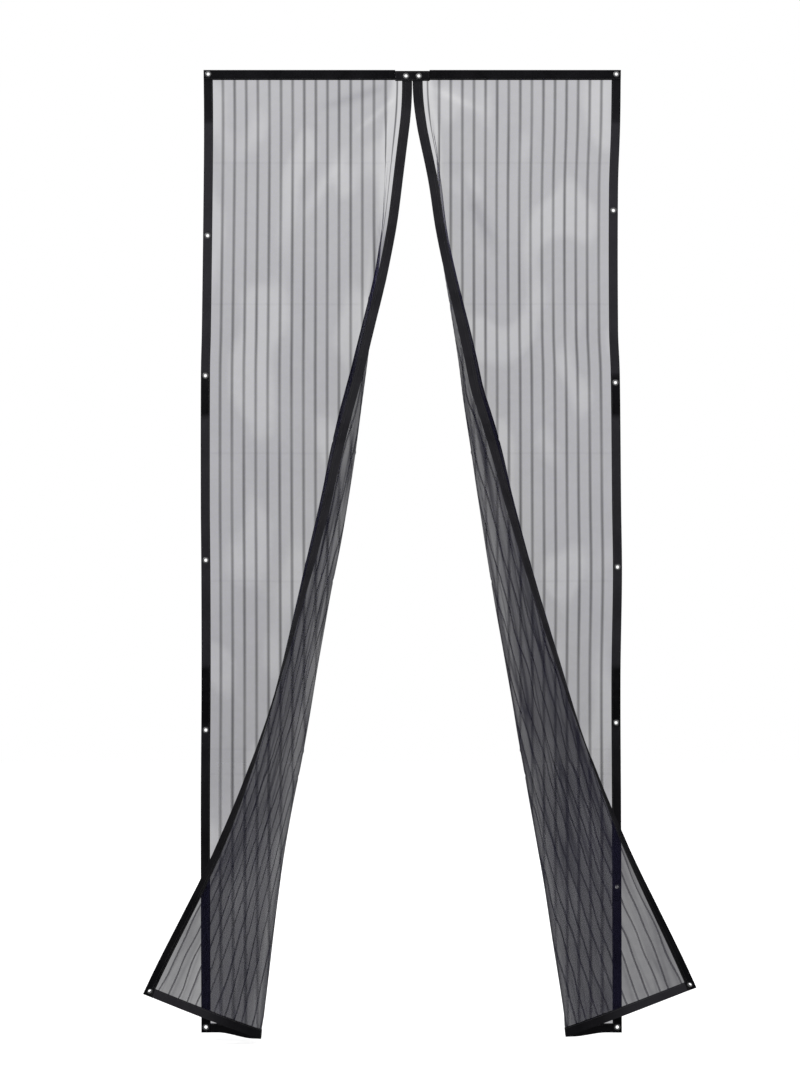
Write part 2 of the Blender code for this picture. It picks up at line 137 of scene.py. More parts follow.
# Where the net is drawn up densely beside the sleeve: drops, shares there, and its reach as a share
# of the width past the fold. Then how dense it is at most, and how much of that comes and goes in streaks.
GATHER_DROPS = (0.30, 0.50, 1.25, 1.60, 1.90)
GATHER_SHARES = (0.0, 1.0, 1.0, 0.65, 0.25)
GATHER_REACH = 0.48
GATHER_DENSITY = 0.92
STREAK_SHARE = 0.45
STREAK_EDGE = 0.20
# How much lighter the net is where it turns round the fold, and over what width.
CREASE_GLOW = 0.25
CREASE_GLOW_WIDTH = 0.010
# Long wrinkles past the fold: the height at which they stop darkening the net, the drops between which
# they set in and fade, and how far they fade.
WRINKLE_SPAN = 0.34
WRINKLE_START = (0.25, 0.55)
WRINKLE_FADE = (1.60, 1.90)
WRINKLE_FADE_SHARE = 0.7
# Stripes past the fold look narrower by a share, and wander by a width between two drops.
PAST_NARROW = 0.38
PAST_WANDER = 0.006
WANDER_SETS_IN = (0.45, 0.75)
# A woven stripe: place across, height and density of its section, and how uneven its density is.
STRIPE_SECTION = (
    (-1.0, 0.08, 0.05), (-0.5, 0.7, 0.60), (0.0, 1.0, 1.0), (0.5, 0.7, 0.60), (1.0, 0.08, 0.05))
STRIPE_UNEVEN = 0.16
STRIPE_PAST_GAIN = 0.16
STRIPE_DENSEST = 0.92
# Pitches across and down the cloth of its uneven swells, wrinkles and tones.
SWELL_PITCH = (0.11, 0.42)
RIPPLE_PITCH = (0.035, 0.16)
WRINKLE_PITCH = (0.085, 0.40)
STREAK_PITCH = (0.060, 0.55)
HAZE_PITCH = (0.075, 0.13)
WANDER_PITCH = (0.0061, 0.075)
STRIPE_TONE_PITCH = (0.0037, 0.22)
RIPPLE_SHARE = 0.25
HAZE_EDGES = (0.02, 0.42)
# How far from a bound edge the net is free to wrinkle.
HELD_WIDTH = 0.03
HELD_AT_SLEEVE = 0.02
# Distances between the net's rows and columns, and the closer rows at a packing crease.
ROW_PITCH = 0.0065
COLUMN_PITCH = 0.0026
CREASE_ROW_CLEARANCE = 0.006
CREASE_ROWS = (-0.0045, -0.002, 0.0, 0.002, 0.0045)
# Drops of the creases that folding for the packet has left across the panels, and their widths.
PACKING_CREASES = (0.203, 0.511, 0.836, 1.115, 1.482, 1.536)
PACKING_CREASE_WIDTH = 0.0035
PACKING_LINE_WIDTH = 0.0018
# Painted highlight on raised pulls and painted shade in sunken ones, as a share of the net's clearness.
PULL_SHEEN = 0.16
# Pulls in the net near the join: across and drop of both ends, height, half width.
PULLS = {
    "left": (
        (0.429, 0.054, 0.324, 0.142, 0.0034, 0.006),
        (0.418, 0.030, 0.250, 0.085, -0.0020, 0.010),
        (0.330, 0.150, 0.210, 0.330, 0.0022, 0.014),
    ),
    "right": (
        (0.418, 0.098, 0.405, 0.175, -0.0034, 0.005),
        (0.425, 0.035, 0.300, 0.090, 0.0022, 0.008),
        (0.370, 0.190, 0.260, 0.420, -0.0024, 0.015),
    ),
}
# Greying of the outer side tapes where they catch the light: drop and share.
SIDE_TAPE_SHEEN = (
    (0.0, 0.16), (0.110, 0.18), (0.120, 0.60), (0.40, 0.66), (0.660, 0.50), (0.667, 0.06), (0.752, 0.06),
    (0.760, 0.52), (1.298, 0.42), (1.306, 0.03), (1.428, 0.03), (1.436, 0.26), (1.75, 0.14), (2.10, 0.03),
)
# Painted sheen on the sleeves, as greying by drop: lighter high up where they face the front, dark low down
# where they turn away; and how much less of it there is over a magnet.
SLEEVE_SHEEN_DROPS = (0.0, 0.1, 1.1, 1.5, 1.9, 2.1)
SLEEVE_SHEEN_SHARES = (0.25, 0.45, 0.42, 0.28, 0.06, 0.0)
SLEEVE_SHEEN_LOSS = 0.1
# Painted sheen, as greying, on the header tapes, the join and the hem tapes, which are greyer near the fold.
HEADER_SHEEN = 0.10
JOIN_SHEEN = 0.14
HEM_SHEEN = 0.10
HEM_SHEEN_GAIN = 0.45
HEM_SHEEN_ACROSS = (0.2, 0.32)
# The sleeve: play beside the magnets, the seam beside them, the stitch inside its mouth, and how full it
# is between two bars and how soon past one.
CHANNEL_PLAY = 0.0006
CHANNEL_SEAM_OFFSET = 0.0022
MOUTH_STITCH_INSET = 0.0028
CHANNEL_END = MAGNET_EDGE_INSET + MAGNET_WIDTH + CHANNEL_PLAY
FULL_BETWEEN_BARS = 0.25
FULL_PAST_BAR = 0.003
FLAT_PAST_BAR = 0.012
# One stitch: place along, size and lift of each ring of its thread, its radius and its share of the pitch.
STITCH_RINGS = (
    (-1.0, 0.25, -0.1), (-0.7, 0.9, 0.75), (0.0, 1.0, 1.0), (0.7, 0.9, 0.75), (1.0, 0.25, -0.1))
STITCH_TURNS = (0, 90, 180, 270)
STITCH_RADIUS = 0.00019
STITCH_REACH = 0.42
SEWN_LIFT = 0.6 * TAPE_LIFT + TAPE_WALL / 2
# Depth of the punch that cuts an eyelet's hole, more than any tape is thick.
PUNCH_DEPTH = 0.012


def smooth_values(stations, values, at):
    """Values of a smooth curve through unevenly spaced stations."""
    stations = np.asarray(stations, float)
    values = np.asarray(values, float)
    slopes = np.empty_like(values)
    slopes[1:-1] = (values[2:] - values[:-2]) / (stations[2:] - stations[:-2])
    slopes[0] = (values[1] - values[0]) / (stations[1] - stations[0])
    slopes[-1] = (values[-1] - values[-2]) / (stations[-1] - stations[-2])
    span = np.clip(np.searchsorted(stations, at, side="left") - 1, 0, len(stations) - 2)
    length = stations[span + 1] - stations[span]
    share = np.clip((at - stations[span]) / length, 0.0, 1.0)
    start_weight = 2 * share ** 3 - 3 * share ** 2 + 1
    leave_weight = share ** 3 - 2 * share ** 2 + share
    arrive_weight = share ** 3 - share ** 2
    return (
        start_weight * values[span]
        + (1 - start_weight) * values[span + 1]
        + length * (leave_weight * slopes[span] + arrive_weight * slopes[span + 1])
    )


def arc_steps(from_turn, to_turn, length):
    """Inward and forward travel of cloth that turns evenly over a length."""
    change = to_turn - from_turn
    straight = np.abs(change) < 1e-6
    radius = length / np.where(straight, 1.0, change)
    inward = np.where(
        straight, length * np.cos(from_turn), radius * (np.sin(to_turn) - np.sin(from_turn)))
    forward = np.where(
        straight, length * np.sin(from_turn), radius * (np.cos(from_turn) - np.cos(to_turn)))
    return inward, forward


def fold_reach(side, drop):
    """Station down the fold, and the width of cloth beyond it."""
    station = np.maximum(drop - JOIN_BOTTOM, 0.0) / (SCREEN_HEIGHT - JOIN_BOTTOM)
    return station, PANEL_WIDTH * smooth_values(FOLD_STATIONS, FOLD_REACH[side], station)


def hung_points(side, across, drop):
    """Middle surface of a panel as the solid model hangs it, before its creases."""
    station, reach = fold_reach(side, drop)
    net_turn = np.radians(smooth_values(FOLD_STATIONS, NET_TURN[side], station))
    sleeve_turn = np.radians(smooth_values(FOLD_STATIONS, SLEEVE_TURN[side], station))
    slant = math.radians(FOLD_SLANT) * np.minimum(station / FOLD_SLANT_STATION, 1.0)
    past = across - (PANEL_WIDTH - reach)
    beyond = past > 0
    inward = np.minimum(past, 0.0)
    forward = np.zeros_like(past)
    free = reach - SLEEVE_WIDTH
    bend = np.minimum(FOLD_RADIUS * net_turn + BEND_EASE, BEND_SHARE * free)
    curl = np.minimum(CURL_RADIUS * np.abs(net_turn - sleeve_turn) + BEND_EASE, BEND_SHARE * free)
    flat = np.zeros_like(past)
    left_over = np.maximum(past, 0.0)
    for from_turn, to_turn, length in (
        (flat, net_turn, bend),
        (net_turn, net_turn, free - bend - curl),
        (net_turn, sleeve_turn, curl),
        (sleeve_turn, sleeve_turn, flat + SLEEVE_WIDTH + 0.01),
    ):
        used = np.minimum(left_over, length)
        reached = from_turn + (to_turn - from_turn) * used / length
        step_in, step_forward = arc_steps(from_turn, reached, used)
        inward = inward + np.where(beyond, step_in, 0.0)
        forward = forward + np.where(beyond, step_forward, 0.0)
        left_over = left_over - used
    sine, cosine = np.sin(slant), np.cos(slant)
    rise = np.where(beyond, sine * cosine * (past - inward), 0.0)
    inward = np.where(beyond, past * sine ** 2 + inward * cosine ** 2, inward)
    forward = np.where(beyond, forward * cosine, forward)
    crease = PANEL_WIDTH - reach
    slack = np.where(
        across < crease, ease(across / crease, SAG_START, 1.0),
        np.sin((PANEL_WIDTH - across) / reach * math.pi / 2))
    sag = HEM_SAG[side] * (drop / SCREEN_HEIGHT) ** SAG_POWER * slack
    out = np.minimum(across / crease, 1.0)
    wander = smooth_values(SWAY_STATIONS, EDGE_SWAY[side], drop / SCREEN_HEIGHT)
    offset = reach + CENTRE_GAP - inward + wander * (1 - out) ** 2 * (1 + 2 * out)
    height = ORIGIN_DROP - drop + rise - sag
    return np.stack([SIDES[side] * offset, -TAPE_FACE - forward, height], axis=-1)


def unit(vectors):
    """Vectors at length one."""
    return vectors / np.maximum(np.linalg.norm(vectors, axis=-1, keepdims=True), 1e-12)


def cloth_frame(side, across, drop):
    """Points, directions down and front normals of a panel."""
    along = hung_points(side, across + PROBE_STEP, drop) - hung_points(side, across - PROBE_STEP, drop)
    down = hung_points(side, across, drop + PROBE_STEP) - hung_points(side, across, drop - PROBE_STEP)
    normal = unit(np.cross(unit(along), unit(down)) * SIDES[side])
    return hung_points(side, across, drop), unit(down), normal


def ease(value, start, end):
    """Smooth step from 0 at start to 1 at end."""
    share = np.clip((value - start) / (end - start), 0.0, 1.0)
    return share * share * (3 - 2 * share)


def ridge(across, drop, pull):
    """A long soft wrinkle between two places on the cloth."""
    across_1, drop_1, across_2, drop_2, height, half_width = pull
    run = np.array([across_2 - across_1, drop_2 - drop_1])
    length = np.hypot(*run)
    run = run / length
    along = (across - across_1) * run[0] + (drop - drop_1) * run[1]
    aside = (across - across_1) * run[1] - (drop - drop_1) * run[0]
    rise = ease(along, -0.01, 0.35 * length)
    fall = ease(along, 0.6 * length, length + 0.02)
    return height * (rise * (1 - fall)) * np.exp(-(aside / half_width) ** 2)


def soft_noise(across, drop, seed, pitch):
    """Slow random swell over the cloth, between about -1 and 1, with its pitch across and down."""
    flat_across = np.ravel(across) / pitch[0]
    flat_drop = np.ravel(drop) / pitch[1]
    found = [noise.noise(Vector((u, v, seed))) for u, v in zip(flat_across, flat_drop)]
    return np.reshape(found, np.shape(across))


def wrinkle_lift(side, across, drop, sizes):
    """How far the net stands off its smooth hang, none at its bound edges."""
    seed = 3.7 if side == "left" else 11.3
    swell = soft_noise(across, drop, seed, SWELL_PITCH) * sizes.swell_height
    ripple = soft_noise(across, drop, seed + 20, RIPPLE_PITCH) * sizes.swell_height * RIPPLE_SHARE
    crease = 0.0
    for index, crease_drop in enumerate(PACKING_CREASES):
        way = 1 if index % 2 else -1
        crease = crease + way * np.exp(-((drop - crease_drop) / PACKING_CREASE_WIDTH) ** 2)
    total = swell + ripple + crease * sizes.crease_height
    total = total + gathers(side, across, drop) * sizes.gather_height
    for pull in PULLS[side]:
        total = total + ridge(across, drop, pull) * sizes.pull_height
    mouth = PANEL_WIDTH - SLEEVE_WIDTH
    bottom = SCREEN_HEIGHT - HEM_TAPE_WIDTH
    free = ease(across, SIDE_TAPE_WIDTH, SIDE_TAPE_WIDTH + HELD_WIDTH)
    free = free * (1 - ease(across, mouth - HELD_AT_SLEEVE, mouth))
    free = free * ease(drop, JOIN_BOTTOM, JOIN_BOTTOM + HELD_WIDTH)
    return total * free * (1 - ease(drop, bottom - HELD_WIDTH, bottom))


def cloth_points(side, across, drop, lift, sizes=None):
    """Points that stand off the panel by a lift, on the net's wrinkles where sizes are given."""
    points, _, normal = cloth_frame(side, across, drop)
    if sizes is not None:
        lift = lift + wrinkle_lift(side, across, drop, sizes)
    return points + normal * np.asarray(lift)[..., None]


def grid_object(name, grids):
    """Smooth mesh through grids of points of one size, which keeps its place on the cloth.

    Each grid is a pair of the points and their places on the cloth.
    """
    rows, columns = grids[0][0].shape[:2]
    index = np.arange(rows * columns).reshape(rows, columns)
    corners = np.stack([index[:-1, :-1], index[1:, :-1], index[1:, 1:], index[:-1, 1:]], axis=-1)
    faces = [corners.reshape(-1, 4) + rows * columns * grid for grid in range(len(grids))]
    mesh = bpy.data.meshes.new(name)
    points = np.concatenate([points.reshape(-1, 3) for points, _ in grids])
    mesh.from_pydata(points.tolist(), [], np.concatenate(faces).tolist())
    mesh.polygons.foreach_set("use_smooth", [True] * len(mesh.polygons))
    store_places(mesh, np.concatenate([cloth.reshape(-1, 3) for _, cloth in grids]))
    return link_object(name, mesh)


def link_object(name, mesh):
    """Object of a mesh, linked into the scene."""
    item = bpy.data.objects.new(name, mesh)
    bpy.context.scene.collection.objects.link(item)
    return item


def flat_places(across, down):
    """Places on the cloth as it lies flat."""
    return np.stack([across, down, down * 0], axis=-1)


def store_places(mesh, places):
    """Keep the place on the cloth of each vertex for the materials to read."""
    attribute = mesh.attributes.new("cloth", "FLOAT_VECTOR", "POINT")
    attribute.data.foreach_set("vector", np.ravel(places).astype(np.float32))


def store_share(mesh, name, values):
    """Keep one number per vertex for the materials to read."""
    attribute = mesh.attributes.new(name, "FLOAT", "POINT")
    attribute.data.foreach_set("value", np.ravel(values).astype(np.float32))


def finish_piece(item, material, nodes=()):
    """Give a piece its material and the nodes that it stands for."""
    item.data.materials.clear()
    item.data.materials.append(material)
    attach(item, "root")
    if nodes:
        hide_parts(*nodes)


def finish_tape(item, sizes, node):
    """Give a tape the binding's material and the node that it stands for."""
    finish_piece(item, tape_material("woven_binding", sizes), [node])


def bake_modifiers(item):
    """Replace a piece's mesh with the one its modifiers make."""
    bpy.context.view_layer.update()
    graph = bpy.context.evaluated_depsgraph_get()
    made = bpy.data.meshes.new_from_object(
        item.evaluated_get(graph), preserve_all_data_layers=True, depsgraph=graph)
    item.modifiers.clear()
    old = item.data
    item.data = made
    made.name = old.name
    bpy.data.meshes.remove(old)


def eyelet_drops(side):
    """Drops of the eyelets down one outer edge."""
    steps = EYELETS_PER_SIDE - 1
    pitch = (SCREEN_HEIGHT - EYELET_TOP_DROP - EYELET_BOTTOM_RISE) / steps
    shifts = (0.0,) + EYELET_SHIFTS[side] + (0.0,)
    return [EYELET_TOP_DROP + pitch * index + shifts[index] for index in range(EYELETS_PER_SIDE)]


def spot_matrix(side, across, drop):
    """Placement with local X across the panel, local Y up it and local Z off its front."""
    point, down, normal = cloth_frame(side, np.array([across]), np.array([drop]))
    up = -Vector(down[0])
    front = Vector(normal[0])
    rotation = Matrix((up.cross(front).normalized(), up, front)).transposed()
    return Matrix.Translation(Vector(point[0])) @ rotation.to_4x4()


def eyelet_places(side):
    """Name, placement and half thickness of the cloth at each eyelet of one side."""
    places = []
    for index, drop in enumerate(eyelet_drops(side)):
        spot = spot_matrix(side, EYELET_EDGE_INSET, drop)
        places.append((f"eyelet_{side}_{index + 1}", spot, TAPE_FACE))
    centre = spot_matrix(side, SCREEN_WIDTH / 2 - EYELET_CENTRE_OFFSET, ORIGIN_DROP)
    places.append((f"eyelet_{side}_centre", centre, TAPE_FACE))
    corner_across = PANEL_WIDTH - SLEEVE_WIDTH / 2
    corner = spot_matrix(side, corner_across, SCREEN_HEIGHT - EYELET_BOTTOM_RISE)
    places.append((f"eyelet_{side}_corner", corner, CHANNEL_LIFT + TAPE_WALL / 2))
    return places


def punch_holes(item, matrices):
    """Cut the round eyelet holes through a tape."""
    radius = EYELET_BORE / 2 + EYELET_WALL
    build = bmesh.new()
    for matrix in matrices:
        bmesh.ops.create_cone(
            build, cap_ends=True, segments=32, depth=PUNCH_DEPTH, matrix=matrix,
            radius1=radius, radius2=radius)
    mesh = bpy.data.meshes.new("punch")
    build.to_mesh(mesh)
    build.free()
    punch = link_object("punch", mesh)
    hole = item.modifiers.new("holes", "BOOLEAN")
    hole.operation = "DIFFERENCE"
    hole.solver = "EXACT"
    hole.object = punch
    bake_modifiers(item)
    bpy.data.objects.remove(punch)
    bpy.data.meshes.remove(mesh)


def magnet_drops():
    """Drops of the middles of the magnet bars."""
    first = JOIN_BOTTOM + STRIPE_END_CLEARANCE
    last = SCREEN_HEIGHT - HEM_TAPE_WIDTH - STRIPE_END_CLEARANCE
    step = (last - first) / (2 * MAGNETS_PER_SLEEVE - 1)
    return [first + step * (2 * index + 0.5) for index in range(MAGNETS_PER_SLEEVE)]


def channel_share(drop):
    """How full the sleeve is at a drop: 1 over a magnet, less between two."""
    nearest = np.full(np.shape(drop), 1.0)
    for centre in magnet_drops():
        nearest = np.minimum(nearest, np.abs(drop - centre))
    half = MAGNET_LENGTH / 2
    over = 1 - ease(nearest, half + FULL_PAST_BAR, half + FLAT_PAST_BAR)
    return FULL_BETWEEN_BARS + (1 - FULL_BETWEEN_BARS) * over


def folded_profile(width):
    """Section of a tape doubled over an edge: distance from the edge and lift, mouth to mouth."""
    seam = width - SEAM_OVERLAP / 2
    front = [
        (width, 0.66), (width - 0.0006, 0.74), (seam + 0.0008, 0.70), (seam, 0.58), (seam - 0.0008, 0.72),
        (seam - 0.003, 0.95), (width * 0.5, 1.0), (width * 0.3, 1.0), (TAPE_LIFT + 0.0012, 1.0),
    ]
    turns = [math.radians(angle) for angle in (90, 67.5, 45, 22.5)]
    middle = TAPE_LIFT + TAPE_WALL / 2
    front += [(middle - TAPE_LIFT * math.cos(turn), math.sin(turn)) for turn in turns]
    back = [(distance, -share) for distance, share in reversed(front)]
    return front + [(TAPE_WALL / 2, 0.0)] + back


def run_lengths(profile):
    """Distance along a section from its first point."""
    steps = [
        math.hypot(after[0] - before[0], (after[1] - before[1]) * TAPE_LIFT)
        for before, after in zip(profile, profile[1:])
    ]
    return np.concatenate([[0.0], np.cumsum(steps)])


def thicken_tape(item):
    """Give a tape the wall of its webbing."""
    wall = item.modifiers.new("webbing", "SOLIDIFY")
    wall.thickness = TAPE_WALL
    wall.offset = 0.0
    wall.use_even_offset = True


def steps_between(start, end, pitch):
    """Evenly spaced values from start to end at about a pitch."""
    return np.linspace(start, end, max(2, int(round((end - start) / pitch)) + 1))


# Materials

class NodeBuilder:
    """Short way to add nodes to a tree and join them."""

    def __init__(self, tree):
        self.tree = tree

    def add(self, kind, values=None, **settings):
        """Add a node, set its properties, and set or link its inputs."""
        node = self.tree.nodes.new(kind)
        for key, value in settings.items():
            setattr(node, key, value)
        for key, value in (values or {}).items():
            socket = node.inputs[key]
            if isinstance(value, bpy.types.NodeSocket):
                self.tree.links.new(value, socket)
            else:
                socket.default_value = value
        return node

    def math(self, operation, first, second=0.0, third=0.0, clamp=False):
        """Output of one math node."""
        node = self.add(
            "ShaderNodeMath", {0: first, 1: second, 2: third}, operation=operation, use_clamp=clamp)
        return node.outputs[0]

    def blend(self, share, first, second):
        """Colour between two colours by a share."""
        node = self.add("ShaderNodeMix", {0: share, 6: first, 7: second}, data_type="RGBA")
        return node.outputs[2]

    def remap(self, value, low, high, to_low, to_high):
        """Value moved from one range into another."""
        return self.add(
            "ShaderNodeMapRange",
            {"Value": value, "From Min": low, "From Max": high, "To Min": to_low, "To Max": to_high},
        ).outputs["Result"]


def make_group(name, inputs, outputs):
    """Empty shader node group with named sockets; returns its builder and end nodes."""
    tree = bpy.data.node_groups.new(name, "ShaderNodeTree")
    for label, kind, default in inputs:
        socket = tree.interface.new_socket(name=label, in_out="INPUT", socket_type=kind)
        if default is not None:
            socket.default_value = default
    for label, kind in outputs:
        tree.interface.new_socket(name=label, in_out="OUTPUT", socket_type=kind)
    build = NodeBuilder(tree)
    source = tree.nodes.new("NodeGroupInput")
    target = tree.nodes.new("NodeGroupOutput")
    return build, source, target


def weave_group():
    """Over and under of crossing threads, as a height."""
    found = bpy.data.node_groups.get("crossing_threads")
    if found:
        return found
    build, source, target = make_group(
        "crossing_threads",
        [("Place", "NodeSocketVector", None), ("Pitch Along", "NodeSocketFloat", 0.0012),
         ("Pitch Across", "NodeSocketFloat", 0.0012)],
        [("Height", "NodeSocketFloat")])
    parts = build.add("ShaderNodeSeparateXYZ", {0: source.outputs["Place"]})
    waves = []
    for axis, pitch in (("X", "Pitch Across"), ("Y", "Pitch Along")):
        cycles = build.math("DIVIDE", parts.outputs[axis], source.outputs[pitch])
        waves.append(build.math("SINE", build.math("MULTIPLY", cycles, math.tau)))
    height = build.math("MULTIPLY_ADD", build.math("MULTIPLY", *waves), 0.5, 0.5)
    build.tree.links.new(height, target.inputs["Height"])
    return build.tree


def cloud_group():
    """Slow uneven tone of handled cloth, from 0 to 1, at two scales."""
    found = bpy.data.node_groups.get("uneven_tone")
    if found:
        return found
    build, source, target = make_group(
        "uneven_tone",
        [("Place", "NodeSocketVector", None), ("Scale", "NodeSocketFloat", 8.0),
         ("Fine Scale", "NodeSocketFloat", 90.0)],
        [("Tone", "NodeSocketFloat")])
    clouds = []
    for scale, detail, roughness in (("Scale", 3.0, 0.55), ("Fine Scale", 2.0, 0.6)):
        cloud = build.add("ShaderNodeTexNoise", {
            "Vector": source.outputs["Place"], "Scale": source.outputs[scale],
            "Detail": detail, "Roughness": roughness})
        clouds.append(cloud.outputs["Fac"])
    broad, fine = clouds
    total = build.math("MULTIPLY_ADD", fine, 0.35, build.math("MULTIPLY", broad, 0.65))
    build.tree.links.new(build.remap(total, 0.32, 0.68, 0.0, 1.0), target.inputs["Tone"])
    return build.tree


def new_material(name, **values):
    """Principled material with constant values on its own sockets."""
    material = bpy.data.materials.new(name)
    material.use_nodes = True
    shader = material.node_tree.nodes["Principled BSDF"]
    for key, value in values.items():
        shader.inputs[key.replace("_", " ")].default_value = value
    return material, NodeBuilder(material.node_tree), shader


def place_of_cloth(build):
    """Place on the cloth in metres, as each vertex keeps it."""
    return build.add("ShaderNodeAttribute", attribute_name="cloth").outputs["Vector"]


def share_of_piece(build, name):
    """One number that each vertex keeps, by its name."""
    return build.add("ShaderNodeAttribute", attribute_name=name).outputs["Fac"]


def use_group(build, tree, values):
    """Place a node group with its values."""
    return build.add("ShaderNodeGroup", values, node_tree=tree)


def add_relief(build, shader, height, strength, distance):
    """Let a height stand out of the surface of a material."""
    bump = build.add("ShaderNodeBump", {"Height": height, "Strength": strength, "Distance": distance})
    build.tree.links.new(bump.outputs["Normal"], shader.inputs["Normal"])


def opaque(colour, gain=1.0):
    """Colour made lighter or darker by a gain, with full cover."""
    return tuple(channel * gain for channel in colour) + (1.0,)


def net_material(name, sizes, dense=False):
    """Dark lavender-grey net with its cover kept on the vertices, and a painted bluish sheen where it hangs
    flat.

    Where it is dense, as in the woven stripes, it has the threads' own colour all over.
    """
    found = bpy.data.materials.get(name)
    if found:
        return found
    material, build, shader = new_material(
        name, Roughness=0.82, Specular_IOR_Level=0.03)
    links = build.tree.links
    place = place_of_cloth(build)
    weave = use_group(build, weave_group(), {
        "Place": place, "Pitch Along": sizes.mesh_pitch, "Pitch Across": sizes.mesh_pitch})
    tone = use_group(build, cloud_group(), {"Place": place, "Scale": 5.0, "Fine Scale": 60.0})
    dark = opaque(sizes.thread_colour, 0.8)
    light = opaque(sizes.thread_colour, 1.25)
    colour = build.blend(tone.outputs["Tone"], dark, light)
    if not dense:
        # Painted sheen: the flat net takes a lighter, bluer colour than the net turned past the fold.
        turned = share_of_piece(build, "turned")
        colour = build.blend(turned, opaque(sizes.flat_sheen_colour), colour)
    links.new(colour, shader.inputs["Base Color"])
    uneven = build.remap(tone.outputs["Tone"], 0.0, 1.0, -0.018, 0.018)
    links.new(build.math("ADD", share_of_piece(build, "cover"), uneven, clamp=True), shader.inputs["Alpha"])
    add_relief(build, shader, weave.outputs["Height"], 0.5 if dense else 0.35, 0.0002)
    return material


def tape_material(name, sizes):
    """Matt black woven binding, greyer where a painted sheen is kept on its vertices, and on the backs of its
    ribs.
    """
    found = bpy.data.materials.get(name)
    if found:
        return found
    material, build, shader = new_material(name, Specular_IOR_Level=0.02)
    links = build.tree.links
    place = place_of_cloth(build)
    weave = use_group(build, weave_group(), {
        "Place": place, "Pitch Along": sizes.webbing_pitch, "Pitch Across": sizes.webbing_pitch * 0.6})
    tone = use_group(build, cloud_group(), {"Place": place, "Scale": 14.0, "Fine Scale": 240.0})
    spread = build.remap(tone.outputs["Tone"], 0.0, 1.0, -0.12, 0.12)
    # The painted sheen kept on the vertices, with a random spread, greys the binding where light falls on it.
    share = build.math("ADD", share_of_piece(build, "painted_sheen"), spread, clamp=True)
    grey = opaque(sizes.tape_sheen_colour)
    base = build.blend(share, opaque(sizes.tape_colour), grey)
    shade = build.remap(weave.outputs["Height"], 0.0, 1.0, 0.0, 0.08)
    colour = build.blend(shade, base, grey)
    links.new(colour, shader.inputs["Base Color"])
    links.new(build.remap(tone.outputs["Tone"], 0.0, 1.0, 0.72, 0.9), shader.inputs["Roughness"])
    add_relief(build, shader, weave.outputs["Height"], 0.6, 0.0003)
    return material


def thread_material(sizes):
    """Twisted black sewing thread with a faint shine."""
    found = bpy.data.materials.get("sewing_thread")
    if found:
        return found
    material, build, shader = new_material(
        "sewing_thread", Roughness=0.5, Specular_IOR_Level=0.4, Sheen_Weight=0.1)
    place = place_of_cloth(build)
    tone = use_group(build, cloud_group(), {"Place": place, "Scale": 30.0, "Fine Scale": 900.0})
    dark = opaque((0.6, 0.6, 0.65), sizes.thread_tone)
    pale = opaque((1.5, 1.5, 1.55), sizes.thread_tone)
    build.tree.links.new(build.blend(tone.outputs["Tone"], dark, pale), shader.inputs["Base Color"])
    twist = use_group(build, weave_group(), {
        "Place": place, "Pitch Along": 0.0009, "Pitch Across": 0.0006})
    add_relief(build, shader, twist.outputs["Height"], 0.4, 0.0001)
    return material


def enamel_material(sizes):
    """Black stoved enamel over steel, rubbed to bare metal in spots on the rolled rim."""
    found = bpy.data.materials.get("black_enamel")
    if found:
        return found
    material, build, shader = new_material("black_enamel", Coat_Weight=0.35, Coat_Roughness=0.2)
    links = build.tree.links
    place = place_of_cloth(build)
    tone = use_group(build, cloud_group(), {"Place": place, "Scale": 160.0, "Fine Scale": 900.0})
    spots = build.remap(tone.outputs["Tone"], 0.62, 0.85, 0.0, 1.0)
    worn = build.math("MULTIPLY", share_of_piece(build, "rim"), spots, clamp=True)
    worn = build.math("MULTIPLY", worn, sizes.eyelet_wear, clamp=True)
    enamel = build.blend(
        tone.outputs["Tone"], opaque(sizes.enamel_colour), opaque(sizes.enamel_colour, 1.6))
    links.new(build.blend(worn, enamel, (0.16, 0.16, 0.165, 1.0)), shader.inputs["Base Color"])
    links.new(build.math("MULTIPLY", worn, 0.9), shader.inputs["Metallic"])
    links.new(build.remap(tone.outputs["Tone"], 0.0, 1.0, 0.28, 0.42), shader.inputs["Roughness"])
    add_relief(build, shader, tone.outputs["Tone"], 0.12, 0.0002)
    return material


def ferrite_material():
    """Sintered grey ferrite with a fine grain."""
    found = bpy.data.materials.get("ferrite")
    if found:
        return found
    material, build, shader = new_material("ferrite", Metallic=0.25)
    links = build.tree.links
    place = build.add("ShaderNodeTexCoord").outputs["Object"]
    tone = use_group(build, cloud_group(), {"Place": place, "Scale": 120.0, "Fine Scale": 2200.0})
    links.new(
        build.blend(tone.outputs["Tone"], (0.055, 0.055, 0.06, 1.0), (0.11, 0.11, 0.115, 1.0)),
        shader.inputs["Base Color"])
    links.new(build.remap(tone.outputs["Tone"], 0.0, 1.0, 0.45, 0.7), shader.inputs["Roughness"])
    add_relief(build, shader, tone.outputs["Tone"], 0.3, 0.0001)
    return material


# Pieces

def fold_share(side, across, drop):
    """Place past the fold from 0 to 1 at the free edge, and how far the cloth is past it."""
    reach = fold_reach(side, drop)[1]
    crease = PANEL_WIDTH - reach
    return (
        (across - crease) / reach,
        ease(across, crease - FOLD_BLUR_BEFORE, crease + FOLD_BLUR_AFTER),
    )


def gathers(side, across, drop):
    """Long uneven wrinkles that fan out down the cloth past the fold, about -1 to 1."""
    seed = 31.3 if side == "left" else 47.9
    share, past = fold_share(side, across, drop)
    return soft_noise(share, drop, seed, WRINKLE_PITCH) * 2.0 * past


def crease_glow(side, across, drop):
    """How much lighter the cloth is where it turns round the fold."""
    share = fold_share(side, across, drop)[0]
    beside = share * fold_reach(side, drop)[1]
    return CREASE_GLOW * np.exp(-(beside / CREASE_GLOW_WIDTH) ** 2) * ease(drop, *FOLD_SHOWS)


